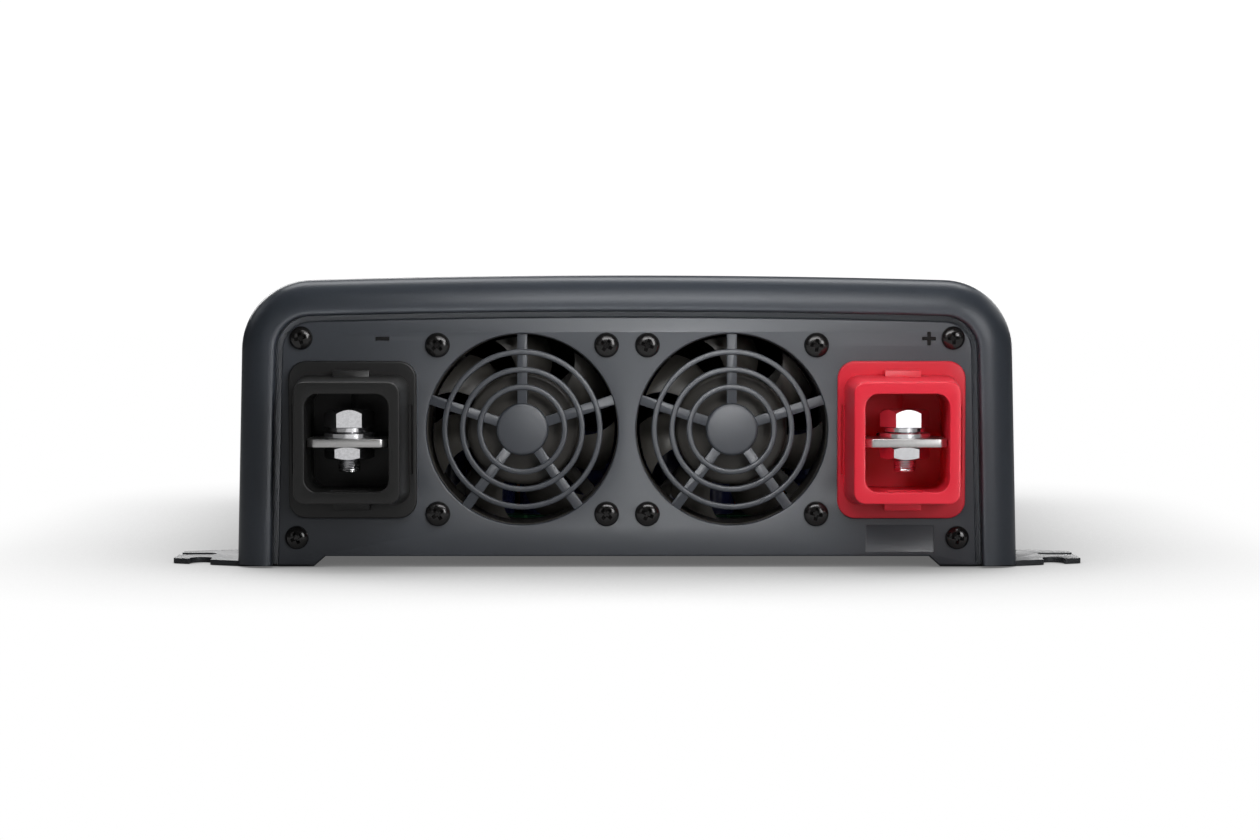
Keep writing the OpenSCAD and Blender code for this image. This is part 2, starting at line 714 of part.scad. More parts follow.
// Rocker with its high half at rest on the left: it turns about the vertical pins
module power_switch_rocker() color([0.12, 0.12, 0.13]) ac_end() translate([switch_x, switch_z, -4]) {
  intersection() {
    rotate([0, rocker_tilt, 0]) difference() {
      block(rocker_w, rocker_h, -3, 7.2);
      translate([0, 0, 31.2]) rotate([90, 0, 0]) translate([0, 0, -20]) cylinder(r = 25, h = 40);
    }
    rotate([90, 0, 0]) translate([0, 0, -20]) cylinder(r = 9.2, h = 40);
  }
  for (a = [-1, 1]) translate([0, a * (rocker_h / 2 + 0.4), 0]) rotate([90, 0, 0])
    translate([0, 0, -0.9]) cylinder(r = 1, h = 1.8);
}

module breaker_body() color([0.06, 0.06, 0.07]) ac_end() translate([breaker_x, breaker_z, 0])
  difference() {
    union() {
      block(15, 26, -32, -panel_t - panel_gap);
      rod(5, -panel_t - panel_gap - 0.01, 6);
    }
    rod(button_r + button_fit, -12, 7);
  }

module breaker_nut() color([0.7, 0.7, 0.72]) ac_end() translate([breaker_x, breaker_z, 0])
  difference() {
    cylinder(r = 7.8, h = 2.2, $fn = 6);
    rod(5.1, -1, 3);
  }

module breaker_button() color([0.12, 0.12, 0.13]) ac_end() translate([breaker_x, breaker_z, 0])
  rod(button_r, -6, 9);

module status_lights() color([0.3, 0.9, 0.4]) ac_end() for (x = light_x)
  translate([x, light_z, 0]) {
    rod(light_r, -8, 0.2);
    intersection() {
      translate([0, 0, -0.9]) sphere(1.9);
      rod(light_r, 0.1, 2);
    }
  }

module remote_port() color([0.05, 0.05, 0.05]) ac_end() translate([remote_x, remote_z, 0])
  difference() {
    block(16, 14, -18, 0.5);
    translate([0, 0.8, 0]) block(12, 7, -13, 1);
    translate([0, -3.6, 0]) block(6.4, 2, -13, 1);
  }

module earth_stud() color([0.75, 0.72, 0.6]) ac_end() translate([earth_x, earth_z, 0]) {
  rod(3, -panel_t - 0.01, stud_v);
  translate([0, 0, -panel_t - 4]) cylinder(r = 5.77, h = 4, $fn = 6);
}

module earth_washer() color([0.8, 0.8, 0.82]) ac_end() translate([earth_x, earth_z, 0]) difference() {
  rod(6, 0, 1.2);
  rod(3.1, -1, 3);
}

module earth_nut() color([0.8, 0.8, 0.82]) ac_end() translate([earth_x, earth_z, 1.2]) difference() {
  cylinder(r = 5.77, h = 5, $fn = 6);
  rod(3.1, -1, 6);
}

// Splash guard behind the exhaust slots: a channel that is open above and below
module vent_baffle() color([0.1, 0.1, 0.11]) ac_end() difference() {
  translate([baffle_x[0], baffle_z[0], baffle_v])
    cube([baffle_x[1] - baffle_x[0], baffle_z[1] - baffle_z[0], -panel_t - baffle_v]);
  translate([baffle_x[0] + baffle_t, baffle_z[0] - 1, baffle_v + baffle_t])
    cube([baffle_x[1] - baffle_x[0] - 2 * baffle_t, baffle_z[1] - baffle_z[0] + 2, -baffle_v]);
}

// ---- Inside ----

module main_board() color([0.1, 0.35, 0.2]) difference() {
  translate([-board_w / 2, board_y0, board_z]) cube([board_w, board_y1 - board_y0, board_t]);
  for (p = board_fix) translate([p[0], p[1], 0]) rod(1.7, board_z - 1, board_top + 1);
  for (s = [-1, 1]) translate([s * term_x, bar_screw_y, 0])
    rod(screw_shank_r + screw_clear, board_z - 1, board_top + 1);
}

module insulating_sheet() color([0.85, 0.85, 0.8]) difference() {
  translate([-board_w / 2, board_y0, floor_top]) cube([board_w, board_y1 - board_y0, 0.4]);
  for (p = board_fix) translate([p[0], p[1], 0]) rod(standoff_r + 0.3, floor_top - 1, floor_top + 1);
}

module board_standoffs() color([0.8, 0.75, 0.5]) for (p = board_fix) translate([p[0], p[1], 0])
  difference() {
    cylinder(r = standoff_r, h = board_z, $fn = 6);
    translate([0, 0, -1]) cylinder(r = 10, h = floor_top + 1);
    rod(1.3, 0, board_z + 1);
  }

module board_screws() color([0.7, 0.7, 0.72]) for (p = board_fix)
  translate([p[0], p[1], board_top]) pan_screw(2.8, 1.8, 1.25, 7);

module bus_bar_screws() color([0.7, 0.7, 0.72]) for (s = [-1, 1])
  translate([s * term_x, bar_screw_y, board_top + bar_t])
    pan_screw(3.6, 2.2, screw_shank_r, bar_t + board_t + 3);

// Wall with fins on the outer side and the transistors on the inner side
module heat_sink(s) translate([s * sink_x, sink_y, board_top]) mirror([s > 0 ? 0 : 1, 0, 0]) {
  cube([sink_wall, sink_l, sink_h]);
  for (k = [0 : fin_count - 1]) translate([sink_wall - 0.01, 0, k * (sink_h - fin_t) / (fin_count - 1)])
    cube([fin_l, sink_l, fin_t]);
}

module left_heat_sink() color([0.6, 0.61, 0.63]) heat_sink(-1);
module right_heat_sink() color([0.6, 0.61, 0.63]) heat_sink(1);

module power_transistors() color([0.1, 0.1, 0.1]) for (s = [-1, 1], k = [0 : transistor_count - 1])
  translate([s * (sink_x - 2.5), sink_y + 14 + k * 23, board_top]) {
    translate([-2.5, -8, 6]) cube([5, 16, 21]);
    for (y = [-5.4, 0, 5.4]) translate([-0.5, y - 0.6, 0]) cube([1, 1.2, 6.01]);
  }

module transformer_cores() color([0.25, 0.25, 0.27]) for (s = [-1, 1], y = trafo_y)
  translate([s * 30, y, board_top]) difference() {
    translate([-trafo_core[0] / 2, -trafo_core[1] / 2 + 12, 0])
      cube([trafo_core[0], trafo_core[1] - 24, trafo_core[2]]);
    translate([0, 0, 6]) difference() {
      cylinder(r = trafo_wind_r + 0.3, h = trafo_core[2] - 12);
      translate([0, 0, -1]) cylinder(r = 7, h = 40);
    }
  }

module transformer_windings() color([0.75, 0.55, 0.2]) for (s = [-1, 1], y = trafo_y)
  translate([s * 30, y, board_top + 6.3]) difference() {
    cylinder(r = trafo_wind_r, h = trafo_core[2] - 12.6);
    translate([0, 0, -1]) cylinder(r = 7.3, h = 40);
  }

module input_capacitors() color([0.15, 0.15, 0.3]) for (s = [-1, 1], k = [0 : 3], r = [0, 1])
  translate([s * (14 + 18 * k), board_y0 + 12 + 19 * r, board_top]) cylinder(r = in_cap_r, h = in_cap_h);

module output_capacitors() color([0.15, 0.15, 0.3]) for (x = [-44, -12, 20])
  translate([x, board_y1 - 28, board_top]) cylinder(r = out_cap_r, h = out_cap_h);

module output_choke() color([0.75, 0.5, 0.2]) translate([72, board_y1 - 30, board_top + 1])
  rotate_extrude() translate([choke_r - 9, 9]) circle(8);

module input_fuses() color([0.85, 0.5, 0.15]) for (s = [-1, 1], k = [0 : 2])
  translate([s * (72 - 15 * k) - 5, board_y0 + 41, board_top]) cube([10, 5, 14]);

module control_board() color([0.1, 0.35, 0.2]) translate([-92, board_y1 - 50, board_top]) {
  cube([1.6, 48, 40]);
  for (y = [6, 24]) translate([1.59, y, 10]) cube([3, 12, 12]);
}

// Two thin twisted-pair leads, from each fan frame to the board
module fan_leads() color([0.6, 0.1, 0.1]) for (s = [-1, 1])
  lead([[s * 68.5, dc_y + 28.2, 30], [s * 68.5, dc_y + 34, 30], [s * 76, dc_y + 38, 22],
        [s * 80, dc_y + 44, 22], [s * 80, dc_y + 44, board_top]], 1.3);

// Insulated leads, from the board to the back of each outlet
module ac_leads() color([0.2, 0.25, 0.6]) for (x = outlet_x, p = [-1, 1])
  lead([[-x - p * 7, ac_y - 31.2, outlet_z - 4], [-x - p * 7, ac_y - 38, outlet_z - 4],
        [-x - p * 7, ac_y - 40, 30], [-x - p * 7, board_y1 - 3, 26],
        [-x - p * 7, board_y1 - 3, board_top]], 1.8);

top_cover();
base_plate();
dc_end_bezel();
ac_end_bezel();
dc_end_panel();
ac_end_panel();
negative_terminal_housing();
positive_terminal_housing();
negative_terminal_cap();
positive_terminal_cap();
negative_bus_bar();
positive_bus_bar();
terminal_bolts();
terminal_flat_washers();
terminal_spring_washers();
terminal_nuts();
left_fan_frame();
right_fan_frame();
left_fan_rotor();
right_fan_rotor();
fan_screws();
dc_panel_screws();
ac_panel_screws();
base_screws();
left_ac_outlet();
right_ac_outlet();
outlet_earth_clips();
outlet_screws();
power_switch_frame();
power_switch_rocker();
breaker_body();
breaker_nut();
breaker_button();
status_lights();
remote_port();
earth_stud();
earth_nut();
earth_washer();
main_board();
insulating_sheet();
board_standoffs();
board_screws();
bus_bar_screws();
left_heat_sink();
right_heat_sink();
power_transistors();
transformer_cores();
transformer_windings();
input_capacitors();
output_capacitors();
output_choke();
input_fuses();
control_board();
fan_leads();
ac_leads();
vent_baffle();
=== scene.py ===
"""Looks of the power inverter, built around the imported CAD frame.

Lengths in the shape code are millimetres and are scaled to metres when a piece is made. The two
ends of the inverter each have a local frame: x to the right when that end is faced, y up,
v outwards from the face of the end panel.
"""

import json
import math

import bmesh
import bpy
import numpy as np
from mathutils import Matrix, Vector

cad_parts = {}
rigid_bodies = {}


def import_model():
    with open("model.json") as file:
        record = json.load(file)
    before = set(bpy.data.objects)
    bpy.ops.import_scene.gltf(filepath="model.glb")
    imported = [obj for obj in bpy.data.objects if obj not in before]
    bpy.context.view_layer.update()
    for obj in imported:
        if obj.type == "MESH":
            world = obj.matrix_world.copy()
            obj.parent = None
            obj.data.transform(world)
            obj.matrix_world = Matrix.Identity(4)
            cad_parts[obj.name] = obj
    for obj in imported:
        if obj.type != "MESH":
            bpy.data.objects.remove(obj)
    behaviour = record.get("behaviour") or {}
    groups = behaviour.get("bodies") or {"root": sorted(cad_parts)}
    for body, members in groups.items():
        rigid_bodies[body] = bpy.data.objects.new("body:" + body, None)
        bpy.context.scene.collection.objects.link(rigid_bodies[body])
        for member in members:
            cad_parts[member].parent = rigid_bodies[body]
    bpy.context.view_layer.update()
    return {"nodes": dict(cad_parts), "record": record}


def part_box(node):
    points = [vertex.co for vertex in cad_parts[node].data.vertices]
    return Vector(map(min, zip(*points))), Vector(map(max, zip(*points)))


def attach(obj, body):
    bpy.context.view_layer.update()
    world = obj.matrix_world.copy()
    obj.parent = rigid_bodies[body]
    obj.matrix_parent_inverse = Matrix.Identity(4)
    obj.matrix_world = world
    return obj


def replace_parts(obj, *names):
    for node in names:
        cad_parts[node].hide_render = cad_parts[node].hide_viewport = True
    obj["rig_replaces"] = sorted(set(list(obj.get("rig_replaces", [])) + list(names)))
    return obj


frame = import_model()

MM = 0.001
ROOT = "inverter"


# ---- Places taken from the frame, in millimetres ----

def box_mm(name):
    low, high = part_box(name)
    return np.array(low) / MM, np.array(high) / MM


def middle(name):
    low, high = box_mm(name)
    return (low + high) / 2


cover_low, cover_high = box_mm("top_cover")
dc_panel_low, dc_panel_high = box_mm("dc_end_panel")
dc_bezel_low = box_mm("dc_end_bezel")[0]

DC_FACE = dc_panel_low[1]
AC_FACE = box_mm("ac_end_panel")[1][1]
PANEL_T = dc_panel_high[1] - dc_panel_low[1]
LIP = DC_FACE - dc_bezel_low[1]
TOP = cover_high[2]
FOOT = dc_bezel_low[2]
PANEL_FOOT = dc_panel_low[2]
FAN_X, _, FAN_Z = middle("right_fan_frame")
TERMINAL_X, _, TERMINAL_Z = middle("positive_terminal_housing")
COVER_FOOT = cover_low[2]

DC_PLACE = Matrix(((1, 0, 0, 0), (0, 0, -1, DC_FACE), (0, 1, 0, 0), (0, 0, 0, 1)))
AC_PLACE = Matrix(((-1, 0, 0, 0), (0, 0, 1, AC_FACE), (0, 1, 0, 0), (0, 0, 0, 1)))
HERE = Matrix.Identity(4)

# Outline of the cover, as in the CAD
CORNER_R = 25
CROWN_R = 3900
LEAN = math.radians(1.4)
SIDE_DRAFT = (TOP - CORNER_R - COVER_FOOT) * math.tan(LEAN)
HALF_FOOT = 139.1
RIM_W = 12.8
RIM_BULGE = 8.5
BEZEL_D = 16
COVER_T = 2
PANEL_INSET = RIM_W + 2

CORNER_X = HALF_FOOT - CORNER_R - SIDE_DRAFT
CROWN_Z = TOP - CROWN_R
CORNER_Z = CROWN_Z + math.sqrt((CROWN_R - CORNER_R) ** 2 - CORNER_X ** 2)
CORNER_END = math.atan2(CORNER_Z - CROWN_Z, CORNER_X)


# ---- Materials ----

GRAIN_DEPTH = 0.00012
CLOUD_SCALE = 18
GLOSS_SPREAD = 0.05
COAT_ROUGHNESS = 0.15


def node(tree, kind, values, links, operation=None):
    """A shader node with constants and with the outputs of other nodes on its inputs."""
    made = tree.nodes.new("ShaderNode" + kind)
    if operation:
        made.operation = operation
    for socket, value in values.items():
        made.inputs[socket].default_value = value
    for socket, output in links.items():
        tree.links.new(output, made.inputs[socket])
    return made


def noise(tree, coords, scale, rough):
    values = {"Scale": scale, "Detail": 3, "Roughness": rough}
    return node(tree, "TexNoise", values, {"Vector": coords}).outputs["Fac"]


def ramp(tree, fac, stops):
    r = tree.nodes.new("ShaderNodeValToRGB")
    while len(r.color_ramp.elements) < len(stops):
        r.color_ramp.elements.new(0.5)
    for element, (position, colour) in zip(r.color_ramp.elements, stops):
        element.position = position
        element.color = (*colour, 1)
    tree.links.new(fac, r.inputs["Fac"])
    return r.outputs["Color"]


def spread(tree, fac, low, high):
    """fac, from about 0.3 to 0.7, turned into low to high."""
    values = {"From Min": 0.3, "From Max": 0.7, "To Min": low, "To Max": high}
    return node(tree, "MapRange", values, {"Value": fac}).outputs["Result"]


def bump_on(mat, height, strength, distance):
    tree = mat.node_tree
    values = {"Strength": strength, "Distance": distance}
    made = node(tree, "Bump", values, {"Height": height})
    tree.links.new(made.outputs["Normal"], tree.nodes["Principled BSDF"].inputs["Normal"])


def object_coords(tree):
    return tree.nodes.new("ShaderNodeTexCoord").outputs["Object"]


def finish_material(name, colour, rough, metallic=0.0, vary=0.12, grain=1500, bump=0.06, coat=0.0,
                    specular=0.5, stretched=None):
    """A surface with cloudy colour, uneven gloss and a fine grain that catches the light."""
    mat = bpy.data.materials.new(name)
    mat.use_nodes = True
    tree = mat.node_tree
    shader = tree.nodes["Principled BSDF"]
    shader.inputs["Metallic"].default_value = metallic
    shader.inputs["Specular IOR Level"].default_value = specular
    shader.inputs["Coat Weight"].default_value = coat
    shader.inputs["Coat Roughness"].default_value = COAT_ROUGHNESS
    coords = object_coords(tree)
    cloud = noise(tree, coords, CLOUD_SCALE, 0.5)
    if stretched:
        coords = node(tree, "Mapping", {"Scale": stretched}, {"Vector": coords}).outputs["Vector"]
    fine = noise(tree, coords, grain, 0.6)
    half = node(tree, "Math", {1: 0.5}, {0: cloud}, "MULTIPLY")
    mix = node(tree, "Math", {1: 0.5}, {0: fine, 2: half.outputs[0]}, "MULTIPLY_ADD").outputs[0]
    dark = tuple(c * (1 - vary) for c in colour)
    light = tuple(min(1, c * (1 + vary)) for c in colour)
    tree.links.new(ramp(tree, mix, [(0.3, dark), (0.7, light)]), shader.inputs["Base Color"])
    gloss = spread(tree, mix, rough + GLOSS_SPREAD, rough - GLOSS_SPREAD)
    tree.links.new(gloss, shader.inputs["Roughness"])
    bump_on(mat, fine, bump, GRAIN_DEPTH)
    return mat


def board_material(name):
    """Green solder mask with paler copper tracks under it."""
    green = (0.012, 0.09, 0.035)
    mat = finish_material(name, green, 0.35, coat=0.3, bump=0.02)
    tree = mat.node_tree
    values = {"Scale": 60, "Mortar Size": 0.04, "Color1": (*green, 1),
              "Color2": (0.02, 0.13, 0.05, 1), "Mortar": (0.06, 0.22, 0.09, 1)}
    tracks = node(tree, "TexBrick", values, {"Vector": object_coords(tree)})
    tree.links.new(tracks.outputs["Color"], tree.nodes["Principled BSDF"].inputs["Base Color"])
    return mat


def winding_material(name):
    """Enamelled copper wire, laid turn on turn."""
    mat = finish_material(name, (0.55, 0.2, 0.06), 0.3, metallic=0.9, bump=0.1)
    tree = mat.node_tree
    values = {"Scale": 320, "Distortion": 0.4}
    turns = node(tree, "TexWave", values, {"Vector": object_coords(tree)})
    turns.bands_direction = "Z"
    bump_on(mat, turns.outputs["Fac"], 0.5, 0.0004)
    return mat


CASE_BLUE = (0.048, 0.056, 0.070)
FINISHES = {
    "cover_paint": (CASE_BLUE, 0.42, dict(specular=0.45, metallic=0.1, grain=2600, bump=0.10)),
    "bezel_plastic": (CASE_BLUE, 0.34, dict(metallic=0.1, grain=2600)),
    "base_paint": ((0.040, 0.043, 0.048), 0.48, dict(metallic=0.15, grain=2200)),
    "panel_plastic": ((0.058, 0.065, 0.078), 0.36, dict(grain=3000)),
    "black_plastic": ((0.022, 0.022, 0.022), 0.33, dict(grain=3000)),
    "red_plastic": ((0.88, 0.028, 0.054), 0.32, dict(vary=0.05, grain=3000, bump=0.05)),
    "tinned_copper": ((0.66, 0.655, 0.65), 0.30,
                      dict(metallic=1, grain=900, bump=0.10, stretched=(1, 9, 1), vary=0.08)),
    "plated_steel": ((0.78, 0.78, 0.80), 0.20, dict(metallic=1, grain=1300, vary=0.06)),
    "fan_plastic": ((0.062, 0.058, 0.052), 0.38, dict(grain=2500)),
    "black_screw": ((0.018, 0.017, 0.017), 0.22,
                    dict(metallic=0.35, grain=1800, bump=0.05, coat=0.5)),
    "outlet_plastic": ((0.022, 0.022, 0.024), 0.36, dict(grain=3000)),
    "brass": ((0.74, 0.56, 0.28), 0.27, dict(metallic=1, grain=1200)),
    "light_pipe": ((0.25, 0.75, 0.32), 0.18, dict(bump=0.02, coat=0.4)),
    "insulation": ((0.62, 0.60, 0.50), 0.6, dict(grain=1200)),
    "sink_aluminium": ((0.60, 0.61, 0.62), 0.34,
                       dict(metallic=1, grain=900, bump=0.08, stretched=(1, 0.1, 1))),
    "transistor_epoxy": ((0.02, 0.02, 0.02), 0.55, dict(grain=2500, bump=0.12)),
    "ferrite": ((0.05, 0.05, 0.053), 0.6, dict(grain=1800, bump=0.15)),
    "capacitor_sleeve": ((0.02, 0.025, 0.09), 0.25, dict(grain=900, coat=0.3)),
    "fuse_plastic": ((0.75, 0.25, 0.03), 0.25, dict(grain=900, coat=0.3)),
    "lead_sleeve": ((0.02, 0.03, 0.14), 0.45, {}),
}
MATERIALS = {name: finish_material(name, colour, rough, **options)
             for name, (colour, rough, options) in FINISHES.items()}
MATERIALS["circuit_board"] = board_material("circuit_board")
MATERIALS["copper_winding"] = winding_material("copper_winding")


# ---- Shape helpers ----

def shift(x, y, z):
    return Matrix.Translation((x, y, z))


def spun(angle):
    """Turned about the third axis."""
    return Matrix.Rotation(angle, 4, "Z")


def into_scene(obj):
    bpy.context.scene.collection.objects.link(obj)
    return obj


def quarter(steps, first=0):
    """Angles from 0 to a right angle."""
    return [math.pi / 2 * k / steps for k in range(first, steps + 1)]


# Vertices nearer than this are one, and edges bent by more than this stay sharp
WELD = 0.002
SHARP = math.radians(35)


class Shape:
    """Vertices and faces in millimetres, gathered from closed shells."""

    def __init__(self):
        self.verts = []
        self.faces = []

    def add(self, verts, faces, place=HERE):
        start = len(self.verts)
        self.verts += [tuple(place @ Vector(v)) for v in verts]
        self.faces += [tuple(i + start for i in f) for f in faces]
        return self

    def merge(self, other, place=HERE):
        return self.add(other.verts, other.faces, place)

    def skin(self, loops, joined=False):
        """Quads between closed loops of equal length, with caps or joined into a ring."""
        n, m = len(loops[0]), len(loops)
        verts = [p for loop in loops for p in loop]
        faces = []
        for j in range(m if joined else m - 1):
            a, b = j * n, (j + 1) % m * n
            faces += [(a + i, a + (i + 1) % n, b + (i + 1) % n, b + i) for i in range(n)]
        if not joined:
            faces += [tuple(range(n))[::-1], tuple(range((m - 1) * n, m * n))]
        return self.add(verts, faces)

    def strip(self, rows):
        """Quads between open rows that form a closed section, capped at both ends."""
        n, m = len(rows[0]), len(rows)
        verts = [p for row in rows for p in row]
        faces = []
        for j in range(m):
            a, b = j * n, (j + 1) % m * n
            faces += [(a + i, a + i + 1, b + i + 1, b + i) for i in range(n - 1)]
        faces.append(tuple(j * n for j in range(m)))
        faces.append(tuple(j * n + n - 1 for j in range(m))[::-1])
        return self.add(verts, faces)


def to_mesh(shape, scale):
    """A clean mesh with outward faces, smooth except across sharp edges."""
    mesh = bpy.data.meshes.new("m")
    mesh.from_pydata([[c * scale for c in v] for v in shape.verts], [], shape.faces)
    bm = bmesh.new()
    bm.from_mesh(mesh)
    bmesh.ops.remove_doubles(bm, verts=bm.verts, dist=WELD * scale)
    bmesh.ops.recalc_face_normals(bm, faces=bm.faces)
    for f in bm.faces:
        f.smooth = True
    for e in bm.edges:
        e.smooth = len(e.link_faces) == 2 and e.calc_face_angle(0) < SHARP
    bm.to_mesh(mesh)
    bm.free()
    return mesh


def from_mesh(mesh):
    shape = Shape()
    shape.verts = [tuple(v.co) for v in mesh.vertices]
    shape.faces = [tuple(p.vertices) for p in mesh.polygons]
    return shape


def evaluated(obj):
    graph = bpy.context.evaluated_depsgraph_get()
    return bpy.data.meshes.new_from_object(obj.evaluated_get(graph))


def boolean(shape, cutters):
    """shape with the cutters taken away, as a new Shape."""
    base = into_scene(bpy.data.objects.new("base", to_mesh(shape, 1)))
    tools = []
    for cutter in cutters:
        tool = into_scene(bpy.data.objects.new("tool", to_mesh(cutter, 1)))
        mod = base.modifiers.new("cut", "BOOLEAN")
        mod.operation = "DIFFERENCE"
        mod.solver = "EXACT"
        mod.object = tool
        tools.append(tool)
    result = from_mesh(evaluated(base))
    for o in [base, *tools]:
        bpy.data.objects.remove(o)
    return result


def plate(outlines, v0, v1, bevel=0.3, steps=2):
    """A flat plate of the first outline, the others being holes, with its edges rounded."""
    curve = bpy.data.curves.new("plate", "CURVE")
    curve.dimensions = "2D"
    curve.fill_mode = "BOTH"
    curve.extrude = (v1 - v0) / 2 - bevel
    curve.bevel_depth = bevel
    curve.bevel_resolution = steps
    curve.offset = -bevel
    for points in outlines:
        spline = curve.splines.new("POLY")
        spline.points.add(len(points) - 1)
        for p, (x, y) in zip(spline.points, points):
            p.co = (x, y, 0, 1)
        spline.use_cyclic_u = True
    obj = into_scene(bpy.data.objects.new("plate", curve))
    shape = from_mesh(evaluated(obj))
    bpy.data.objects.remove(obj)
    middle_v = (v0 + v1) / 2
    shape.verts = [(x, y, z + middle_v) for x, y, z in shape.verts]
    return shape


def circle(r, n=64, cx=0.0, cy=0.0):
    angles = [2 * math.pi * k / n for k in range(n)]
    return [(cx + r * math.cos(a), cy + r * math.sin(a)) for a in angles]


def round_rect(w, h, r, n=8, cx=0.0, cy=0.0):
    """Rounded rectangle with n + 1 points on each corner, anticlockwise."""
    points = []
    for sx, sy, a0 in ((1, 1, 0), (-1, 1, 90), (-1, -1, 180), (1, -1, 270)):
        for k in range(n + 1):
            a = math.radians(a0 + 90 * k / n)
            points.append((cx + sx * (w / 2 - r) + r * math.cos(a),
                           cy + sy * (h / 2 - r) + r * math.sin(a)))
    return points


def facing_circle(r, n):
    """A circle with its points in the directions of a round_rect's, n steps to a corner."""
    angles = [math.radians(a0 + 90 * k / n) for a0 in (0, 90, 180, 270) for k in range(n + 1)]
    return [(r * math.cos(a), r * math.sin(a)) for a in angles]


def at(points, v):
    return [(x, y, v) for x, y in points]


def revolve(profile, n=48, joined=False):
    """A solid of revolution about the v axis. profile is (radius, v) pairs."""
    return Shape().skin([at(circle(r, n), v) for r, v in profile], joined=joined)


def brick(w, h, v0, v1, bevel=0.3, cx=0.0, cy=0.0, corner=None):
    """A block with rounded corners and rounded front and back edges."""
    corner = bevel if corner is None else corner
    arc = quarter(2)
    edge = [(bevel - bevel * math.sin(a), v0 + bevel - bevel * math.cos(a)) for a in arc]
    edge += [(bevel - bevel * math.sin(a), v1 - bevel + bevel * math.cos(a)) for a in arc[::-1]]
    return Shape().skin([at(round_rect(w - 2 * i, h - 2 * i, max(corner - i, 0.01), 4, cx, cy), v)
                         for i, v in edge])


def make(name, shape, slot, *nodes, body=ROOT, place=HERE):
    """The finished piece: shape in metres, riding on its body, in place of the CAD nodes."""
    mesh = to_mesh(Shape().merge(shape, place), MM)
    obj = into_scene(bpy.data.objects.new(name, mesh))
    obj.data.materials.append(MATERIALS[slot])
    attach(obj, body)
    if nodes:
        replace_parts(obj, *nodes)
    return obj


def make_skin(node_name, shape, slot, **where):
    """The piece that stands for one CAD node and has its name."""
    return make(node_name + "_skin", shape, slot, node_name, **where)


# ---- Cover and bezels ----

# How far the ends of the base plate stand back from the lips of the bezels
PLATE_BACK = 8
SEAM = 0.35


def side_at(inset, z):
    r = CORNER_R - inset
    return CORNER_X + r * math.cos(LEAN) + (CORNER_Z + r * math.sin(LEAN) - z) * math.tan(LEAN)


def outline(inset, foot, corner=20, crown=18):
    """The rounded U of the cover from its right foot to its left foot."""
    points = [(side_at(inset, foot), foot)]
    for k in range(corner + 1):
        a = LEAN + (CORNER_END - LEAN) * k / corner
        r = CORNER_R - inset
        points.append((CORNER_X + r * math.cos(a), CORNER_Z + r * math.sin(a)))
    for k in range(1, crown + 1):
        a = CORNER_END + (math.pi / 2 - CORNER_END) * k / crown
        r = CROWN_R - inset
        points.append((r * math.cos(a), CROWN_Z + r * math.sin(a)))
    return points + [(-x, y) for x, y in points[-2::-1]]


def rim_section():
    """(inset, v) round the section of a bezel, from the seam with the cover, forwards and back."""
    wall, ledge, pocket, lip_round = 3, 19, -8, 1.1
    edge = LIP - PLATE_BACK
    section = [(SEAM, -BEZEL_D), (0, -BEZEL_D + SEAM), (0, edge - 0.1), (0, edge + 0.2)]
    for a in quarter(14):
        section.append(((RIM_W - lip_round) * (1 - math.cos(a)),
                        LIP - RIM_BULGE * (1 - math.sin(a))))
    for a in quarter(5, 1):
        section.append((RIM_W - lip_round + lip_round * math.sin(a),
                        LIP - lip_round * (1 - math.cos(a))))
    behind_panel = -PANEL_T - 0.2
    return section + [(RIM_W, behind_panel), (ledge, behind_panel), (ledge, edge - 0.1),
                      (ledge, pocket), (wall, pocket), (wall, -BEZEL_D)]


def bezel():
    """The rim reaches down to the foot only in front of the base plate."""
    return Shape().strip([at(outline(inset, COVER_FOOT if v < LIP - PLATE_BACK else FOOT), v)
                          for inset, v in rim_section()])


def cover():
    y0, y1 = cover_low[1], cover_high[1]
    section = [(SEAM, y0), (0, y0 + SEAM), (0, y1 - SEAM), (SEAM, y1), (COVER_T, y1),
               (COVER_T, y0)]
    rows = [[(x, y, z) for x, z in outline(inset, COVER_FOOT)] for inset, y in section]
    shape = Shape().strip(rows)
    inner = 116
    width = side_at(COVER_T, 4) - inner
    for s in (-1, 1):
        flange = brick(width, y1 - y0, COVER_FOOT, COVER_FOOT + COVER_T, 0.2,
                       s * (inner + width / 2))
        shape.merge(flange, shift(0, (y0 + y1) / 2, 0))
    return shape


rim = bezel()
make_skin("dc_end_bezel", rim, "bezel_plastic", place=DC_PLACE)
make_skin("ac_end_bezel", rim, "bezel_plastic", place=AC_PLACE)
make_skin("top_cover", cover(), "cover_paint")


# ---- Base plate ----

PLATE_T = 2
# The tabs: x outwards from the middle, y along the body from the near edge of the tab
TAB_TIP = box_mm("base_plate")[1][0]
TAB_L = 45.7
TIP_START = 10.4
TIP_END = 37.7
NOTCH_W = 7.8
NOTCH_X = 153.9
NOTCH_END = 14.3
SLOT_W = 6.6
SLOT_IN = 150.7
SLOT_Y = 27.2


def soften(points, r, share=0.45, kept=()):
    """Rounds the corners of a closed outline, except those kept, with a radius near r."""
    steps = 4
    out = []
    n = len(points)
    for i in range(n):
        if i in kept:
            out.append(points[i])
            continue
        p, a, b = (np.array(points[k % n], float) for k in (i, i - 1, i + 1))
        da, db = a - p, b - p
        reach = min(r, np.linalg.norm(da) * share, np.linalg.norm(db) * share)
        s, e = p + da / np.linalg.norm(da) * reach, p + db / np.linalg.norm(db) * reach
        for k in range(steps + 1):
            t = k / steps
            out.append(tuple((1 - t) ** 2 * s + 2 * t * (1 - t) * p + t * t * e))
    return out


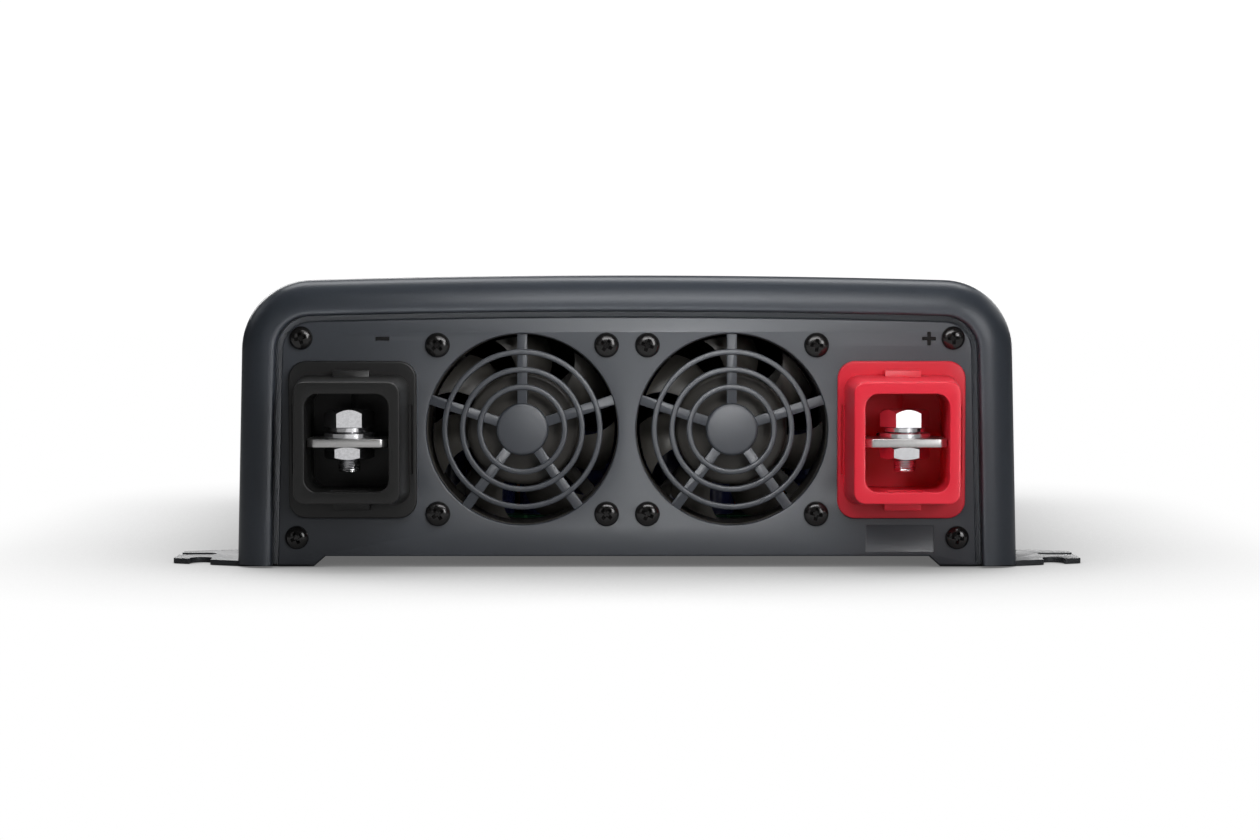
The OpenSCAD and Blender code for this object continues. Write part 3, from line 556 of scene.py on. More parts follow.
def tab_outline():
    """Outline of one tab, with a notch in its near edge and a slot in its tip."""
    root = side_at(0, PLATE_T)
    inner = root - 6
    slope = TIP_START / (TAB_TIP - root)
    arc_steps = 12
    points = [(inner, 0), (root, 0)]
    half = NOTCH_W / 2
    points.append((NOTCH_X - half, (NOTCH_X - half - root) * slope))
    notch_first = len(points)
    for k in range(arc_steps + 1):
        a = math.pi * (1 - k / arc_steps)
        points.append((NOTCH_X + half * math.cos(a), NOTCH_END - half + half * math.sin(a)))
    points.append((NOTCH_X + half, (NOTCH_X + half - root) * slope))
    half = SLOT_W / 2
    points += [(TAB_TIP, TIP_START), (TAB_TIP, SLOT_Y - half)]
    slot_first = len(points)
    for k in range(arc_steps + 1):
        a = -math.pi / 2 - math.pi * k / arc_steps
        points.append((SLOT_IN + half + half * math.cos(a), SLOT_Y + half * math.sin(a)))
    points += [(TAB_TIP, SLOT_Y + half), (TAB_TIP, TIP_END), (root, TAB_L), (inner, TAB_L)]
    kept = {0, len(points) - 1}
    for first in (notch_first, slot_first):
        kept |= set(range(first, first + arc_steps + 1))
    return soften(points, 1.6, 0.4, kept)


def base():
    y0 = DC_FACE - LIP + PLATE_BACK
    y1 = AC_FACE + LIP - PLATE_BACK
    edge = side_at(0, PLATE_T)
    rail, floor, lean = 112, 4, 0.8
    right = [(0, floor), (rail - floor, floor), (rail, 0), (edge, 0), (edge, PLATE_T),
             (rail + lean, PLATE_T), (rail - floor + lean, floor + PLATE_T), (0, floor + PLATE_T)]
    section = right + [(-x, z) for x, z in right[-2:0:-1]]
    shape = Shape().skin([[(x, y, z) for x, z in section]
                          for y in (y0, y0 + 0.01, y1 - 0.01, y1)])
    tab = plate([tab_outline()], 0, PLATE_T, 0.25)
    for sx in (1, -1):
        for sy, start in ((1, y0), (-1, y1)):
            shape.merge(tab, shift(0, start, 0) @ Matrix.Diagonal((sx, sy, 1, 1)))
    return shape


make_skin("base_plate", base(), "base_paint")


# ---- Fasteners ----

def pan_screw(r, h, shank, length):
    """Pan head screw with a tapered cross recess. Head up from v = 0, shank down."""
    brim = 0.25
    profile = [(0.001, -length), (shank * 0.4, -length), (shank, -length + 1.5), (shank, 0),
               (r * 0.96, 0), (r, brim)]
    for a in quarter(9):
        profile.append((r * math.cos(a) ** 0.8 + 0.001, brim + (h - brim) * math.sin(a) ** 0.9))
    cutters = []
    wide, deep, thick = r * 0.56, h * 0.62, r * 0.15
    steps = [(wide * 0.45, thick * 0.55, h - deep), (wide, thick, h),
             (wide * 1.15, thick * 1.1, h + 0.6)]
    for turn in (0, math.pi / 2):
        c, s = math.cos(turn), math.sin(turn)
        cutters.append(Shape().skin([[(x * c - y * s, x * s + y * c, v)
                                      for x, y in ((-a, -b), (a, -b), (a, b), (-a, b))]
                                     for a, b, v in steps]))
    return boolean(revolve(profile, 40), cutters)


def copies(master, places, spin=0.0):
    """The master shape at each place, each copy turned further, as screws stop anywhere."""
    shape = Shape()
    for k, (x, y, v) in enumerate(places):
        turn = spun(spin * (k * 1.7 + 0.6))
        shape.merge(master, shift(x, y, v) @ turn)
    return shape


def centres(node, place):
    """The middle, in the local frame, of each solid of a CAD node."""
    bm = bmesh.new()
    bm.from_mesh(frame["nodes"][node].data)
    bmesh.ops.remove_doubles(bm, verts=bm.verts, dist=1e-6)
    left = set(bm.verts)
    found = []
    back = place.inverted()
    while left:
        stack = [left.pop()]
        group = []
        while stack:
            v = stack.pop()
            group.append(back @ (v.co / MM))
            for e in v.link_edges:
                other = e.other_vert(v)
                if other in left:
                    left.remove(other)
                    stack.append(other)
        low = [min(p[i] for p in group) for i in range(3)]
        high = [max(p[i] for p in group) for i in range(3)]
        found.append([(a + b) / 2 for a, b in zip(low, high)])
    bm.free()
    return sorted(found)


def spots(node_name, place, v=0.0):
    """Where the solids of a CAD node stand in the local frame, all at the height v."""
    return [(x, y, v) for x, y, _ in centres(node_name, place)]


def screw_set(node_name, master, place, spin, v=0.0):
    make(node_name[:-1] + "_set", copies(master, spots(node_name, place, v), spin), "black_screw",
         node_name, place=place)


HEAD_R = 4.2
# As the photograph shows them, a little larger than in the CAD
FAN_HEAD_R = 4.45
HEAD_H = 2.6
SHANK_R = 1.6
short_screw = pan_screw(HEAD_R, HEAD_H, SHANK_R, 12)
screw_set("fan_screws", pan_screw(FAN_HEAD_R, HEAD_H, SHANK_R, 18), DC_PLACE, 1.0)
screw_set("dc_panel_screws", short_screw, DC_PLACE, 0.8)
screw_set("ac_panel_screws", short_screw, AC_PLACE, 0.9)
screw_set("outlet_screws", pan_screw(2.9, 1.9, SHANK_R, 10), AC_PLACE, 1.1, 3)


def hex_solid(flats, h, hole=0.0, both=False, drop=0.577, n=96):
    """Hexagon with the corners of its face cut back by a cone, and a hole through it if asked."""
    def ring(v, clip):
        loop = []
        step = math.pi / 3
        for k in range(n):
            a = 2 * math.pi * k / n
            r = flats / 2 / math.cos((a % step) - step / 2)
            over = max(0, r - flats / 2)
            loop.append((r * math.cos(a), r * math.sin(a), v - clip * over * drop))
        return loop

    def disc(r, v):
        return at(circle(r, n), v)

    seat, edge = flats / 2 * 0.95, 0.35
    bottom = [ring(0, -1)] if both else [ring(0, 0)]
    if hole:
        inner = hole + edge
        loops = [disc(hole, edge), disc(inner, 0), disc(seat, 0)] + bottom
        loops += [ring(h, 1), disc(seat, h), disc(inner, h), disc(hole, h - edge)]
        return Shape().skin(loops, joined=True)
    loops = [disc(0.01, 0)] + bottom + [ring(h, 1), disc(seat, h)]
    loops += [disc(seat * 0.6, h + 0.05), disc(0.01, h + 0.06)]
    return Shape().skin(loops)


def thread_loops(r, v0, v1, pitch, deep, n, steps, taper):
    """Loops up a screw thread. taper(v) is how far it is cut back near its end."""
    rows = int((v1 - v0) / pitch * steps)
    loops = []
    for j in range(rows + 1):
        v = v0 + (v1 - v0) * j / rows
        loop = []
        for k in range(n):
            tooth = abs(((v / pitch) - k / n) % 1 * 2 - 1)
            rr = r - deep * (1 - tooth) - 0.3 * taper(v)
            a = 2 * math.pi * k / n
            loop.append((rr * math.cos(a), rr * math.sin(a), v))
        loops.append(loop)
    return loops


def thread(r, v0, v1, pitch=0.8):
    """A threaded rod from v0 to v1, with the lower end chamfered."""
    n = 32
    deep = pitch * 0.38
    loops = [at(circle(0.01, n), v0), at(circle(r - deep - 0.3, n), v0)]
    loops += thread_loops(r, v0, v1, pitch, deep, n, 8, lambda v: 1 - min(1, (v - v0) / 0.8))
    return Shape().skin(loops + [at(circle(0.01, n), v1)])


def ring_section(r, hole, t, edge):
    return [(hole, edge), (hole + edge, 0), (r - edge, 0), (r, edge), (r, t - edge),
            (r - edge, t), (hole + edge, t), (hole, t - edge)]


def washer(r, hole, t, edge=0.25):
    return revolve(ring_section(r, hole, t, edge), 64, joined=True)


def spring_washer(r, hole, t):
    """A split ring whose two ends stand a little apart."""
    n, gap, rise, turned = 56, 0.12, 0.35, 0.9
    loops = []
    for k in range(n + 1):
        a = gap + (2 * math.pi - 2 * gap) * k / n - turned
        lift = rise * (k / n - 0.5)
        c, s = math.cos(a), math.sin(a)
        loops.append([(q * c, q * s, (v - t / 2) * 0.82 + t / 2 + lift * 0.6)
                      for q, v in ring_section(r, hole, t, 0.2)])
    return Shape().skin(loops)


bolt_low, bolt_high = box_mm("terminal_bolts")
flat_low, flat_high = box_mm("terminal_flat_washers")
spring_low, spring_high = box_mm("terminal_spring_washers")
nut_low, nut_high = box_mm("terminal_nuts")
BOLT_Y = (bolt_low[1] + bolt_high[1]) / 2
BOLT_R = 4
HEX_FLATS = 15.2



def at_terminals(name, node_name, shape, z, spin=0.0):
    """Puts a piece of hardware on both terminals."""
    both = Shape()
    for s in (-1, 1):
        both.merge(shape, shift(s * TERMINAL_X, BOLT_Y, z) @ spun(math.radians(spin)))
    make(name, both, "plated_steel", node_name)


bar_top, head_z = box_mm("positive_bus_bar")[1][2], spring_high[2]
bolt = thread(BOLT_R, bolt_low[2], bar_top)
bolt.merge(revolve([(0.01, bar_top - 1), (BOLT_R, bar_top - 1), (BOLT_R, head_z),
                    (0.01, head_z)], 32))
bolt.merge(hex_solid(HEX_FLATS, bolt_high[2] - head_z - 0.06, drop=1.15), shift(0, 0, head_z))
nut = hex_solid(HEX_FLATS, nut_high[2] - nut_low[2], BOLT_R + 0.05, True)
flat_washer = washer(9, BOLT_R + 0.1, flat_high[2] - flat_low[2])
split_washer = spring_washer(7.2, BOLT_R + 0.1, spring_high[2] - spring_low[2])
at_terminals("terminal_bolt_pair", "terminal_bolts", bolt, 0, 5)
at_terminals("terminal_nut_pair", "terminal_nuts", nut, nut_low[2])
at_terminals("flat_washer_pair", "terminal_flat_washers", flat_washer, flat_low[2])
at_terminals("spring_washer_pair", "terminal_spring_washers", split_washer, spring_low[2])


# ---- Bus bars ----

def bus_bar(node_name, side):
    """Flat bar with cut corners at its tip, a narrow neck, and a leg down to the board."""
    low, high = box_mm(node_name)
    wide = (high[0] - low[0]) / 2
    front, foot_end = low[1], high[1]
    t, tip, tip_cut, neck = 3, 12, 2.3, 7.5
    shoulder, leg_y = DC_FACE + 1.5, DC_FACE + 33
    flat = [(-tip, front), (tip, front), (wide, front + tip_cut), (wide, shoulder),
            (neck, shoulder), (neck, leg_y + t), (-neck, leg_y + t), (-neck, shoulder),
            (-wide, shoulder), (-wide, front + tip_cut)]
    shape = plate([soften(flat, 1.0), circle(BOLT_R + 0.3, 32, 0, BOLT_Y)], high[2] - t, high[2],
                  0.35)
    shape.merge(brick(neck * 2, t, low[2], high[2] - t + 0.5), shift(0, leg_y + t / 2, 0))
    foot_start = leg_y + 2
    shape.merge(brick(neck * 2, foot_end - foot_start, low[2], low[2] + t),
                shift(0, (foot_end + foot_start) / 2, 0))
    make_skin(node_name, shape, "tinned_copper", place=shift(side * TERMINAL_X, 0, 0))


bus_bar("negative_bus_bar", -1)
bus_bar("positive_bus_bar", 1)


# ---- Terminal housings and caps ----

# Width, height and corner radius of rounded rectangles about the middle of a terminal
WINDOW = (29.2, 34.1, 4.5)
FLANGE = (45.3, 55.8, 6.2)
THROAT = (33.6, 38.6, 6.0)
CAP_FOOT = (40.6, 45.8, 5.0)
CAP_FRONT = (37.1, 42.5, 4.0)
PORT = (16.6, 4.6, 0.8)


def rings(*steps):
    """Rounded rectangles at depths: each step is (size, inset, v) or (size, inset, v, cy)."""
    loops = []
    for (w, h, r), inset, v, *cy in steps:
        corners = round_rect(w - 2 * inset, h - 2 * inset, max(r - inset, 0.1), 8, 0, *cy)
        loops.append(at(corners, v))
    return loops


def round_over(size, v, radius):
    """Rings that round the edge between an outer wall and the front face at v."""
    return [(size, radius * (1 - math.cos(a)), v - radius * (1 - math.sin(a)))
            for a in quarter(4)]


def round_in(size, v, radius):
    """Rings that round the edge between the front face at v and the inner wall of an opening."""
    return [(size, -radius * (1 - math.sin(a)), v - radius * (1 - math.cos(a)))
            for a in quarter(3)]


def housing():
    back, port_dy, front = -6, -0.2, 3
    behind = back - 2
    steps = [(THROAT, 0, 0), (FLANGE, 0, 0)]
    steps += round_over(FLANGE, front, 0.6) + round_in(WINDOW, front, 0.4)
    steps += [(WINDOW, 0, back), (PORT, 0, back, port_dy), (PORT, 0, behind, port_dy),
              (THROAT, 0, behind)]
    shape = Shape().skin(rings(*steps), joined=True)
    groove_h = 9
    groove_y = (WINDOW[1] - groove_h) / 2 - 0.3
    cuts = [brick(2.6, groove_h, back - 0.8, back + 1, 0.2, 0, groove_y)]
    # A slit in the flange beside each side of the cap
    cuts += [brick(0.7, 24.8, 1.6, 4, 0.1, s * 21.1) for s in (-1, 1)]
    return boolean(shape, cuts)


def cap():
    foot_v, front_v = 3.3, 25
    steps = [(WINDOW, 0, foot_v), (CAP_FOOT, 0, foot_v)]
    for k in range(1, 4):
        f = k / 4
        size = tuple(a + (b - a) * f for a, b in zip(CAP_FOOT, CAP_FRONT))
        steps.append((size, 0, foot_v + (front_v - foot_v) * f))
    steps += round_over(CAP_FRONT, front_v, 0.55) + round_in(WINDOW, front_v, 0.45)
    steps.append((WINDOW, 0, (foot_v + front_v) / 2))
    shape = Shape().skin(rings(*steps), joined=True)
    cuts = [brick(12.7, 5.2, front_v - 9, front_v - 4, 0.2, 0, -WINDOW[1] / 2)]
    cuts += [brick(2.4, 24.8, foot_v - 1, foot_v + 1.5, 0.2, s * CAP_FOOT[0] / 2)
             for s in (-1, 1)]
    shape = boolean(shape, cuts)
    # Latch tabs above and below, whose faces slope away from the cap
    wide, high, corner, near, tall, slope = 12.9, 3.4, 0.3, 21.4, 5.4, 0.25
    for s in (-1, 1):
        middle_y = s * (near + high / 2)
        loops = [at(round_rect(wide, high, corner, 4, 0, middle_y), foot_v)]
        for inset, down in ((0, 0.25), (0.07, 0.07), (0.25, 0)):
            edge = round_rect(wide - 2 * inset, high - 2 * inset, corner - inset / 2, 4, 0,
                              middle_y)
            loops.append([(x, y, foot_v + tall - (abs(y) - near) * slope - down)
                          for x, y in edge])
        shape.skin(loops)
    return shape


housing_shape, cap_shape = housing(), cap()
for word, side, slot in (("negative", -1, "black_plastic"), ("positive", 1, "red_plastic")):
    spot = DC_PLACE @ shift(side * TERMINAL_X, TERMINAL_Z, 0)
    make_skin(f"{word}_terminal_housing", housing_shape, slot, place=spot)
    make_skin(f"{word}_terminal_cap", cap_shape, slot, body=f"{word}_cap", place=spot)


# ---- End panels ----

FAN_OPEN_R = 34.05
GRILLE_RINGS = (27.6, 21.3, 15.1)
MINUS_X = -86.8
PLUS_X = 107.2
MARK_Y = 81.5
# How much larger each recess is than its polarity mark, and how far the mark lies in it
MARK_GAP = 0.1
MARK_SUNK = 0.12


def panel(holes):
    """An end panel: the U, with a foot at each side and a raised middle, and these holes."""
    foot_in, foot_top, arch = 111.3, 107.7, 4.05
    points = outline(PANEL_INSET, PANEL_FOOT)
    points += [(-foot_in, PANEL_FOOT), (-foot_top, arch), (foot_top, arch), (foot_in, PANEL_FOOT)]
    return plate([points, *holes], -PANEL_T, 0, 0.5, 3)


def grille():
    """Three rings and a flat disc on five spokes."""
    shape = Shape()
    for r in GRILLE_RINGS:
        shape.skin([at(circle(r + x - 1, 96), v - 2.4)
                    for x, v in round_rect(2, 2.2, 0.4, 3, 1, 1.1)], joined=True)
    disc = [(0.01, -2.8), (9.0, -2.8), (9.3, -2.4), (9.3, -0.9), (9.0, -0.3), (8.5, -0.04),
            (8.2, 0), (0.01, 0)]
    shape.merge(revolve(disc, 64))
    inner, spokes = 8.4, 5
    length = FAN_OPEN_R + 0.6 - inner
    spoke = brick(length, 3.6, -2.9, -0.9, 0.25, inner + length / 2, 0, 0.3)
    for k in range(spokes):
        shape.merge(spoke, spun(math.pi / 2 + 2 * math.pi * k / spokes))
    return shape


def mark(x, plus, grow, front):
    """Polarity mark: the recess in the panel, or the dark fill in it, which is painted shade
    standing in for the shadow inside an engraved groove.
    """
    long, wide, deep = 2.4 + grow, 0.6 + grow, -0.9 - grow
    points = [(-long, -wide), (long, -wide), (long, wide), (-long, wide)]
    if plus:
        points[1:1] = [(-wide, -wide), (-wide, -long), (wide, -long), (wide, -wide)]
        points[-1:-1] = [(wide, wide), (wide, long), (-wide, long), (-wide, wide)]
    points = [(x + dx, MARK_Y + dy) for dx, dy in points]
    return Shape().skin([at(points, deep), at(points, front)])


def dc_panel():
    holes = [circle(FAN_OPEN_R, 128, s * FAN_X, FAN_Z) for s in (-1, 1)]
    holes += [round_rect(34, 39, 6.2, 8, s * TERMINAL_X, TERMINAL_Z) for s in (-1, 1)]
    label = brick(24.5, 9.8, -0.35, 1, 0.2, 97.05, 10.3, 0.8)
    shape = boolean(panel(holes), [label, mark(MINUS_X, False, MARK_GAP, 1),
                                   mark(PLUS_X, True, MARK_GAP, 1)])
    one = grille()
    for s in (-1, 1):
        shape.merge(one, shift(s * FAN_X, FAN_Z, 0))
    return shape


make_skin("dc_end_panel", dc_panel(), "panel_plastic", place=DC_PLACE)
# The black fill in the mark recesses is painted shade: it darkens the strokes where an engraved
# groove would lie in shadow.
marks = mark(MINUS_X, False, 0, -MARK_SUNK).merge(mark(PLUS_X, True, 0, -MARK_SUNK))
make("polarity_marks", marks, "black_screw", place=DC_PLACE)


# ---- Fan rotors ----

def blade(tip_r, hub_r, v_mid):
    """One swept, cambered blade from the hub to the tip."""
    root_r = hub_r - 0.6
    sections, steps, camber = 10, 12, 1.9
    # Along one face of the blade and back along the other, each point once
    faces = [(1, k / steps) for k in range(steps + 1)]
    faces += [(-1, 1 - k / steps) for k in range(1, steps)]
    loops = []
    for j in range(sections + 1):
        f = j / sections
        r = root_r + (tip_r - hub_r + 0.6) * f
        chord = 16 + 5.5 * f
        pitch = math.radians(46 - 14 * f)
        sweep = 0.20 * f * f
        thick = 1.5 - 0.6 * f
        loop = []
        for face, t in faces:
            along = (t - 0.5) * chord
            rise = math.sin(math.pi * t)
            over = camber * rise + thick / 2 * max(0, rise) ** 0.5 * face
            s = along * math.cos(pitch) - over * math.sin(pitch)
            v = along * math.sin(pitch) + over * math.cos(pitch)
            a = sweep + s / r
            loop.append((r * math.cos(a), r * math.sin(a), v_mid + v))
        loops.append(loop)
    return Shape().skin(loops)


def rotor():
    front = DC_FACE - box_mm("left_fan_rotor")[0][1]
    depth, hub_r, tip_r, wall, edge, blades = 17, 20, 32.8, 2.2, 1.6, 7
    inner = hub_r - wall
    profile = [(0.01, front), (6, front), (6.6, front - 0.25), (17.2, front - 0.25)]
    profile += [(hub_r - edge + edge * math.sin(a), front - 0.25 - edge + edge * math.cos(a))
                for a in quarter(5)]
    profile += [(hub_r, front - depth), (inner, front - depth), (inner, front - wall),
                (0.01, front - wall)]
    shape = revolve(profile, 72)
    shape.merge(revolve([(0.01, front - 18), (1.5, front - 18), (1.5, front - 2),
                         (0.01, front - 2)], 24))
    one = blade(tip_r, hub_r, front - depth / 2)
    for k in range(blades):
        shape.merge(one, spun(2 * math.pi * k / blades + 0.5))
    return shape


rotor_shape = rotor()
for word, side in (("left", -1), ("right", 1)):
    make_skin(f"{word}_fan_rotor", rotor_shape, "fan_plastic", body=f"{word}_fan",
              place=DC_PLACE @ shift(side * FAN_X, FAN_Z, 0))


# ---- AC end ----

FLANGE_T = 3
RECESS_R = 19.75
RECESS_D = 17.5
BODY_R = 23
BODY_D = 34
PIN_PITCH = 19
PIN_HOLE_R = 2.6
ROCKER = (18, 13)
ROCKER_TILT = math.radians(8)
# How far the pivot of the rocker lies behind the face of the panel
PIVOT_V = -4
OUTLETS = ("left_ac_outlet", "right_ac_outlet")


def local(node_name):
    """Middle of a CAD node, to the right and up, as the AC end is faced."""
    x, y, _ = AC_PLACE.inverted() @ Vector(middle(node_name))
    return x, y


def ac_panel():
    holes = [circle(SHANK_R + 0.5, 24, x, y) for x, y, _ in spots("ac_panel_screws", AC_PLACE)]
    holes += [circle(BODY_R + 0.3, 96, *local(name)) for name in OUTLETS]
    for name, w, h in (("power_switch_frame", 23.6, 16.2), ("remote_port", 16.4, 14.4)):
        holes.append(round_rect(w, h, 0.8, 4, *local(name)))
    holes += [circle(1.7, 24, x, y) for x, y, _ in spots("status_lights", AC_PLACE)]
    for name, r in (("breaker_nut", 5.2), ("earth_washer", 3.2)):
        holes.append(circle(r, 40, *local(name)))
    first, pitch, slots, wide, tall = 8.7, 7.6, 7, 4, 24
    for y in (28, 60):
        holes += [round_rect(wide, tall, wide / 2 - 0.05, 8, first + pitch * k, y)
                  for k in range(slots)]
    return panel(holes)


def outlet():
    """Two-pole earthed outlet: square flange, round well, pin holes and slots for the clips."""
    n = 16
    face, back, bottom = FLANGE_T, FLANGE_T - BODY_D, FLANGE_T - RECESS_D
    side, corner, edge, dip = 50, 4, 0.8, 0.4

    def ring(r, v):
        return at(facing_circle(r, n), v)

    loops = [ring(BODY_R - 1, back), ring(BODY_R, back + 1), ring(BODY_R, 0),
             at(round_rect(side, side, corner, n), 0)]
    for a in quarter(4):
        inset = edge * (1 - math.cos(a))
        loops.append(at(round_rect(side - 2 * inset, side - 2 * inset, corner - inset, n),
                        face - edge * (1 - math.sin(a))))
    loops += [ring(RECESS_R + 2.6, face), ring(RECESS_R + 2.3, face - dip),
              ring(RECESS_R + 1, face - dip)]
    loops += [ring(RECESS_R + 1 - math.sin(a), face - dip - (1 - math.cos(a)))
              for a in quarter(3, 1)]
    loops += [ring(RECESS_R, bottom + 0.5), ring(RECESS_R - 0.5, bottom)]
    mouth = PIN_HOLE_R + 0.8
    pin_hole = revolve([(0.01, back + 4), (PIN_HOLE_R, back + 4), (PIN_HOLE_R, bottom - 0.6),
                        (mouth, bottom + 0.2), (mouth, bottom + 1), (0.01, bottom + 1)], 40)
    cuts = []
    for s in (-1, 1):
        cuts.append(Shape().merge(pin_hole, shift(s * PIN_PITCH / 2, 0, 0)))
        cuts.append(brick(6.4, 3.2, bottom - 6, face - 1.5, 0.2, 0, s * (RECESS_R - 0.2)))
    shape = boolean(Shape().skin(loops), cuts)
    # Key ribs at the two sides of the well
    for s in (-1, 1):
        shape.merge(brick(2.6, 4.6, bottom - 0.2, face - 2.2, 0.4, s * (RECESS_R - 0.7)))
    return shape


def ribbon(path, thick, wide):
    """A strip of sheet metal: path is its (y, v) line, and it is wide along x."""
    bevel = 0.15
    sides = []
    for k, p in enumerate(path):
        before, after = path[max(k - 1, 0)], path[min(k + 1, len(path) - 1)]
        dy, dv = after[0] - before[0], after[1] - before[1]
        size = math.hypot(dy, dv)
        sides.append((p, (-dv / size * thick / 2, dy / size * thick / 2)))
    loops = []
    half, flat = wide / 2, wide / 2 - bevel
    for x, inset in ((-half, bevel), (-flat, 0), (flat, 0), (half, bevel)):
        f = 1 - inset / (thick / 2)
        loop = [(x, y + f * oy, v + f * ov) for (y, v), (oy, ov) in sides]
        loop += [(x, y - f * oy, v - f * ov) for (y, v), (oy, ov) in reversed(sides)]
        loops.append(loop)
    return Shape().skin(loops)


def clips():
    """Sprung earth contacts, one above and one below in each outlet."""
    bottom = FLANGE_T - RECESS_D
    path = [(19.9, bottom - 5.4), (19.9, bottom - 1), (19.4, bottom + 2), (18.8, bottom + 5),
            (18.6, bottom + 7.5), (18.9, bottom + 10), (19.6, bottom + 12.2), (20.1, bottom + 13.4)]
    smooth = []
    for p, q in zip(path, path[1:]):
        smooth += [tuple(a + (b - a) * t for a, b in zip(p, q)) for t in (0, 0.5)]
    strip = ribbon(smooth + [path[-1]], 0.8, 5.8)
    shape = Shape()
    for name in OUTLETS:
        for turn in (0, math.pi):
            shape.merge(strip, shift(*local(name), 0) @ spun(turn))
    return shape


def switch_frame():
    face, middle_v, back = 2, -11, -22
    outer, inner = (27.6, 19.2, 2), (ROCKER[0] + 1, ROCKER[1] + 0.8, 0.6)
    body = (23.2, 15.8, 0.6)
    steps = [(inner, 0, middle_v), (body, 0, middle_v), (body, 0, 0), (outer, 0, 0)]
    steps += round_over(outer, face, 0.7) + round_in(inner, face, 0.5)
    shape = Shape().skin(rings(*steps), joined=True)
    shape.merge(brick(*body[:2], back, middle_v, 0.4))
    # Two blade contacts
    for x in (-6, 6):
        shape.merge(brick(1, 5, back - 8, back + 0.2, 0.15, x))
    return shape


def rocker():
    """Dished rocker key, extruded along its pivot with rounded ends, and its two pins."""
    w, h = ROCKER
    # The dish, and the largest distance from the pivot at which the key clears its frame
    dish_r, dish_v, sweep_r, steps = 25, 31.2, 9.15, 16
    section = [(-w / 2, -3), (w / 2, -3)]
    for k in range(steps + 1):
        x = w / 2 - w * k / steps
        end = 0.25 if k in (0, steps) else 0
        section.append((x, dish_v - math.sqrt(dish_r ** 2 - x ** 2) - end))
    c, q = math.cos(ROCKER_TILT), math.sin(ROCKER_TILT)
    turned = []
    for x, v in section:
        x, v = x * c + v * q, v * c - x * q
        over = max(1, math.hypot(x, v) / sweep_r)
        turned.append((x / over, v / over))
    half = h / 2
    ends = ((-half, 0.45), (-half + 0.13, 0.13), (-half + 0.45, 0), (half - 0.45, 0),
            (half - 0.13, 0.13), (half, 0.45))
    shape = Shape().skin([[(x * (1 - inset / 9), y, v * (1 - inset / 7)) for x, v in turned]
                          for y, inset in ends])
    pin = revolve([(0.01, -0.9), (0.85, -0.9), (1, -0.75), (1, 0.75), (0.85, 0.9), (0.01, 0.9)], 24)
    for s in (-1, 1):
        shape.merge(pin, shift(0, s * (half + 0.4), 0) @ Matrix.Rotation(math.pi / 2, 4, "X"))
    return shape


def breaker():
    """Block behind the panel and a threaded neck through it, with a bore for the button."""
    back, front, neck_r, neck_v, button_r = -32, -PANEL_T - 0.3, 5, 6, 3.17
    bore = revolve([(0.01, -12), (button_r, -12), (button_r, 1), (0.01, 1)], 40)
    shape = boolean(brick(15, 26, back, front, 0.6), [bore])
    n, root = 48, front - 0.05
    loops = [at(circle(button_r, n), neck_v), at(circle(button_r, n), root)]
    loops += thread_loops(neck_r, root, neck_v, 0.75, 0.3, n, 6,
                          lambda v: max(0, 1 - (neck_v - v) / 0.6))
    return shape.skin(loops, joined=True)


def remote():
    """Modular jack: a wide opening and a notch for the latch of the plug."""
    cuts = [brick(12, 7, -13, 1, 0.05, 0, 0.8), brick(6.4, 2.2, -13, 1, 0.05, 0, -3.5)]
    return boolean(brick(16, 14, -18, 0.5, 0.35, 0, 0, 0.6), cuts)


def lens():
    r, brim, dome = 1.5, 0.2, 0.8
    profile = [(0.01, -8), (r, -8), (r, brim)]
    profile += [(r * math.cos(a), brim + dome * math.sin(a)) for a in quarter(6, 1)[:-1]]
    return revolve(profile + [(0.01, brim + dome)], 28)


def put(node_name, shape, slot, body=ROOT, v=0.0):
    """The piece for a node of the AC end, where the node stands."""
    make_skin(node_name, shape, slot, body=body, place=AC_PLACE @ shift(*local(node_name), v))


def v_range(node_name):
    low, high = box_mm(node_name)
    return low[1] - AC_FACE, high[1] - AC_FACE


make_skin("ac_end_panel", ac_panel(), "panel_plastic", place=AC_PLACE)
outlet_shape = outlet()
for name in OUTLETS:
    put(name, outlet_shape, "outlet_plastic")
make("earth_clip_set", clips(), "brass", "outlet_earth_clips", place=AC_PLACE)
put("power_switch_frame", switch_frame(), "outlet_plastic")
put("power_switch_rocker", rocker(), "outlet_plastic", "rocker", PIVOT_V)
put("breaker_body", breaker(), "outlet_plastic")
put("breaker_nut", hex_solid(13.5, 2.2, 5.1), "plated_steel")
button = [(0.01, -6), (3.1, -6), (3.1, 8.2), (2.9, 8.75), (2.3, 9), (0.01, 8.9)]
put("breaker_button", revolve(button, 40), "outlet_plastic", "reset_button")
make("status_light_set", copies(lens(), spots("status_lights", AC_PLACE)), "light_pipe",
     "status_lights", place=AC_PLACE)
put("remote_port", remote(), "outlet_plastic")

STUD_R = 3
EARTH_FLATS = 10
stud_v0, stud_v1 = v_range("earth_stud")
stud = thread(STUD_R, -stud_v1, PANEL_T, 1.0)
stud.verts = [(x, y, -v) for x, y, v in stud.verts]
stud.merge(hex_solid(EARTH_FLATS, 4), shift(0, 0, stud_v0))
put("earth_stud", stud, "brass")
v0, v1 = v_range("earth_washer")
put("earth_washer", washer(6, STUD_R + 0.1, v1 - v0, 0.2), "plated_steel", v=v0)
v0, v1 = v_range("earth_nut")
put("earth_nut", hex_solid(EARTH_FLATS, v1 - v0, STUD_R + 0.1, True), "plated_steel", v=v0)


# ---- Fan frames ----

FAN_SIZE = 70
FAN_DEEP = 25
FAN_BORE_R = 33.8
FAN_HOLE_XY = 30
FAN_HOLE_R = 1.65
BOSS_R = 15.5


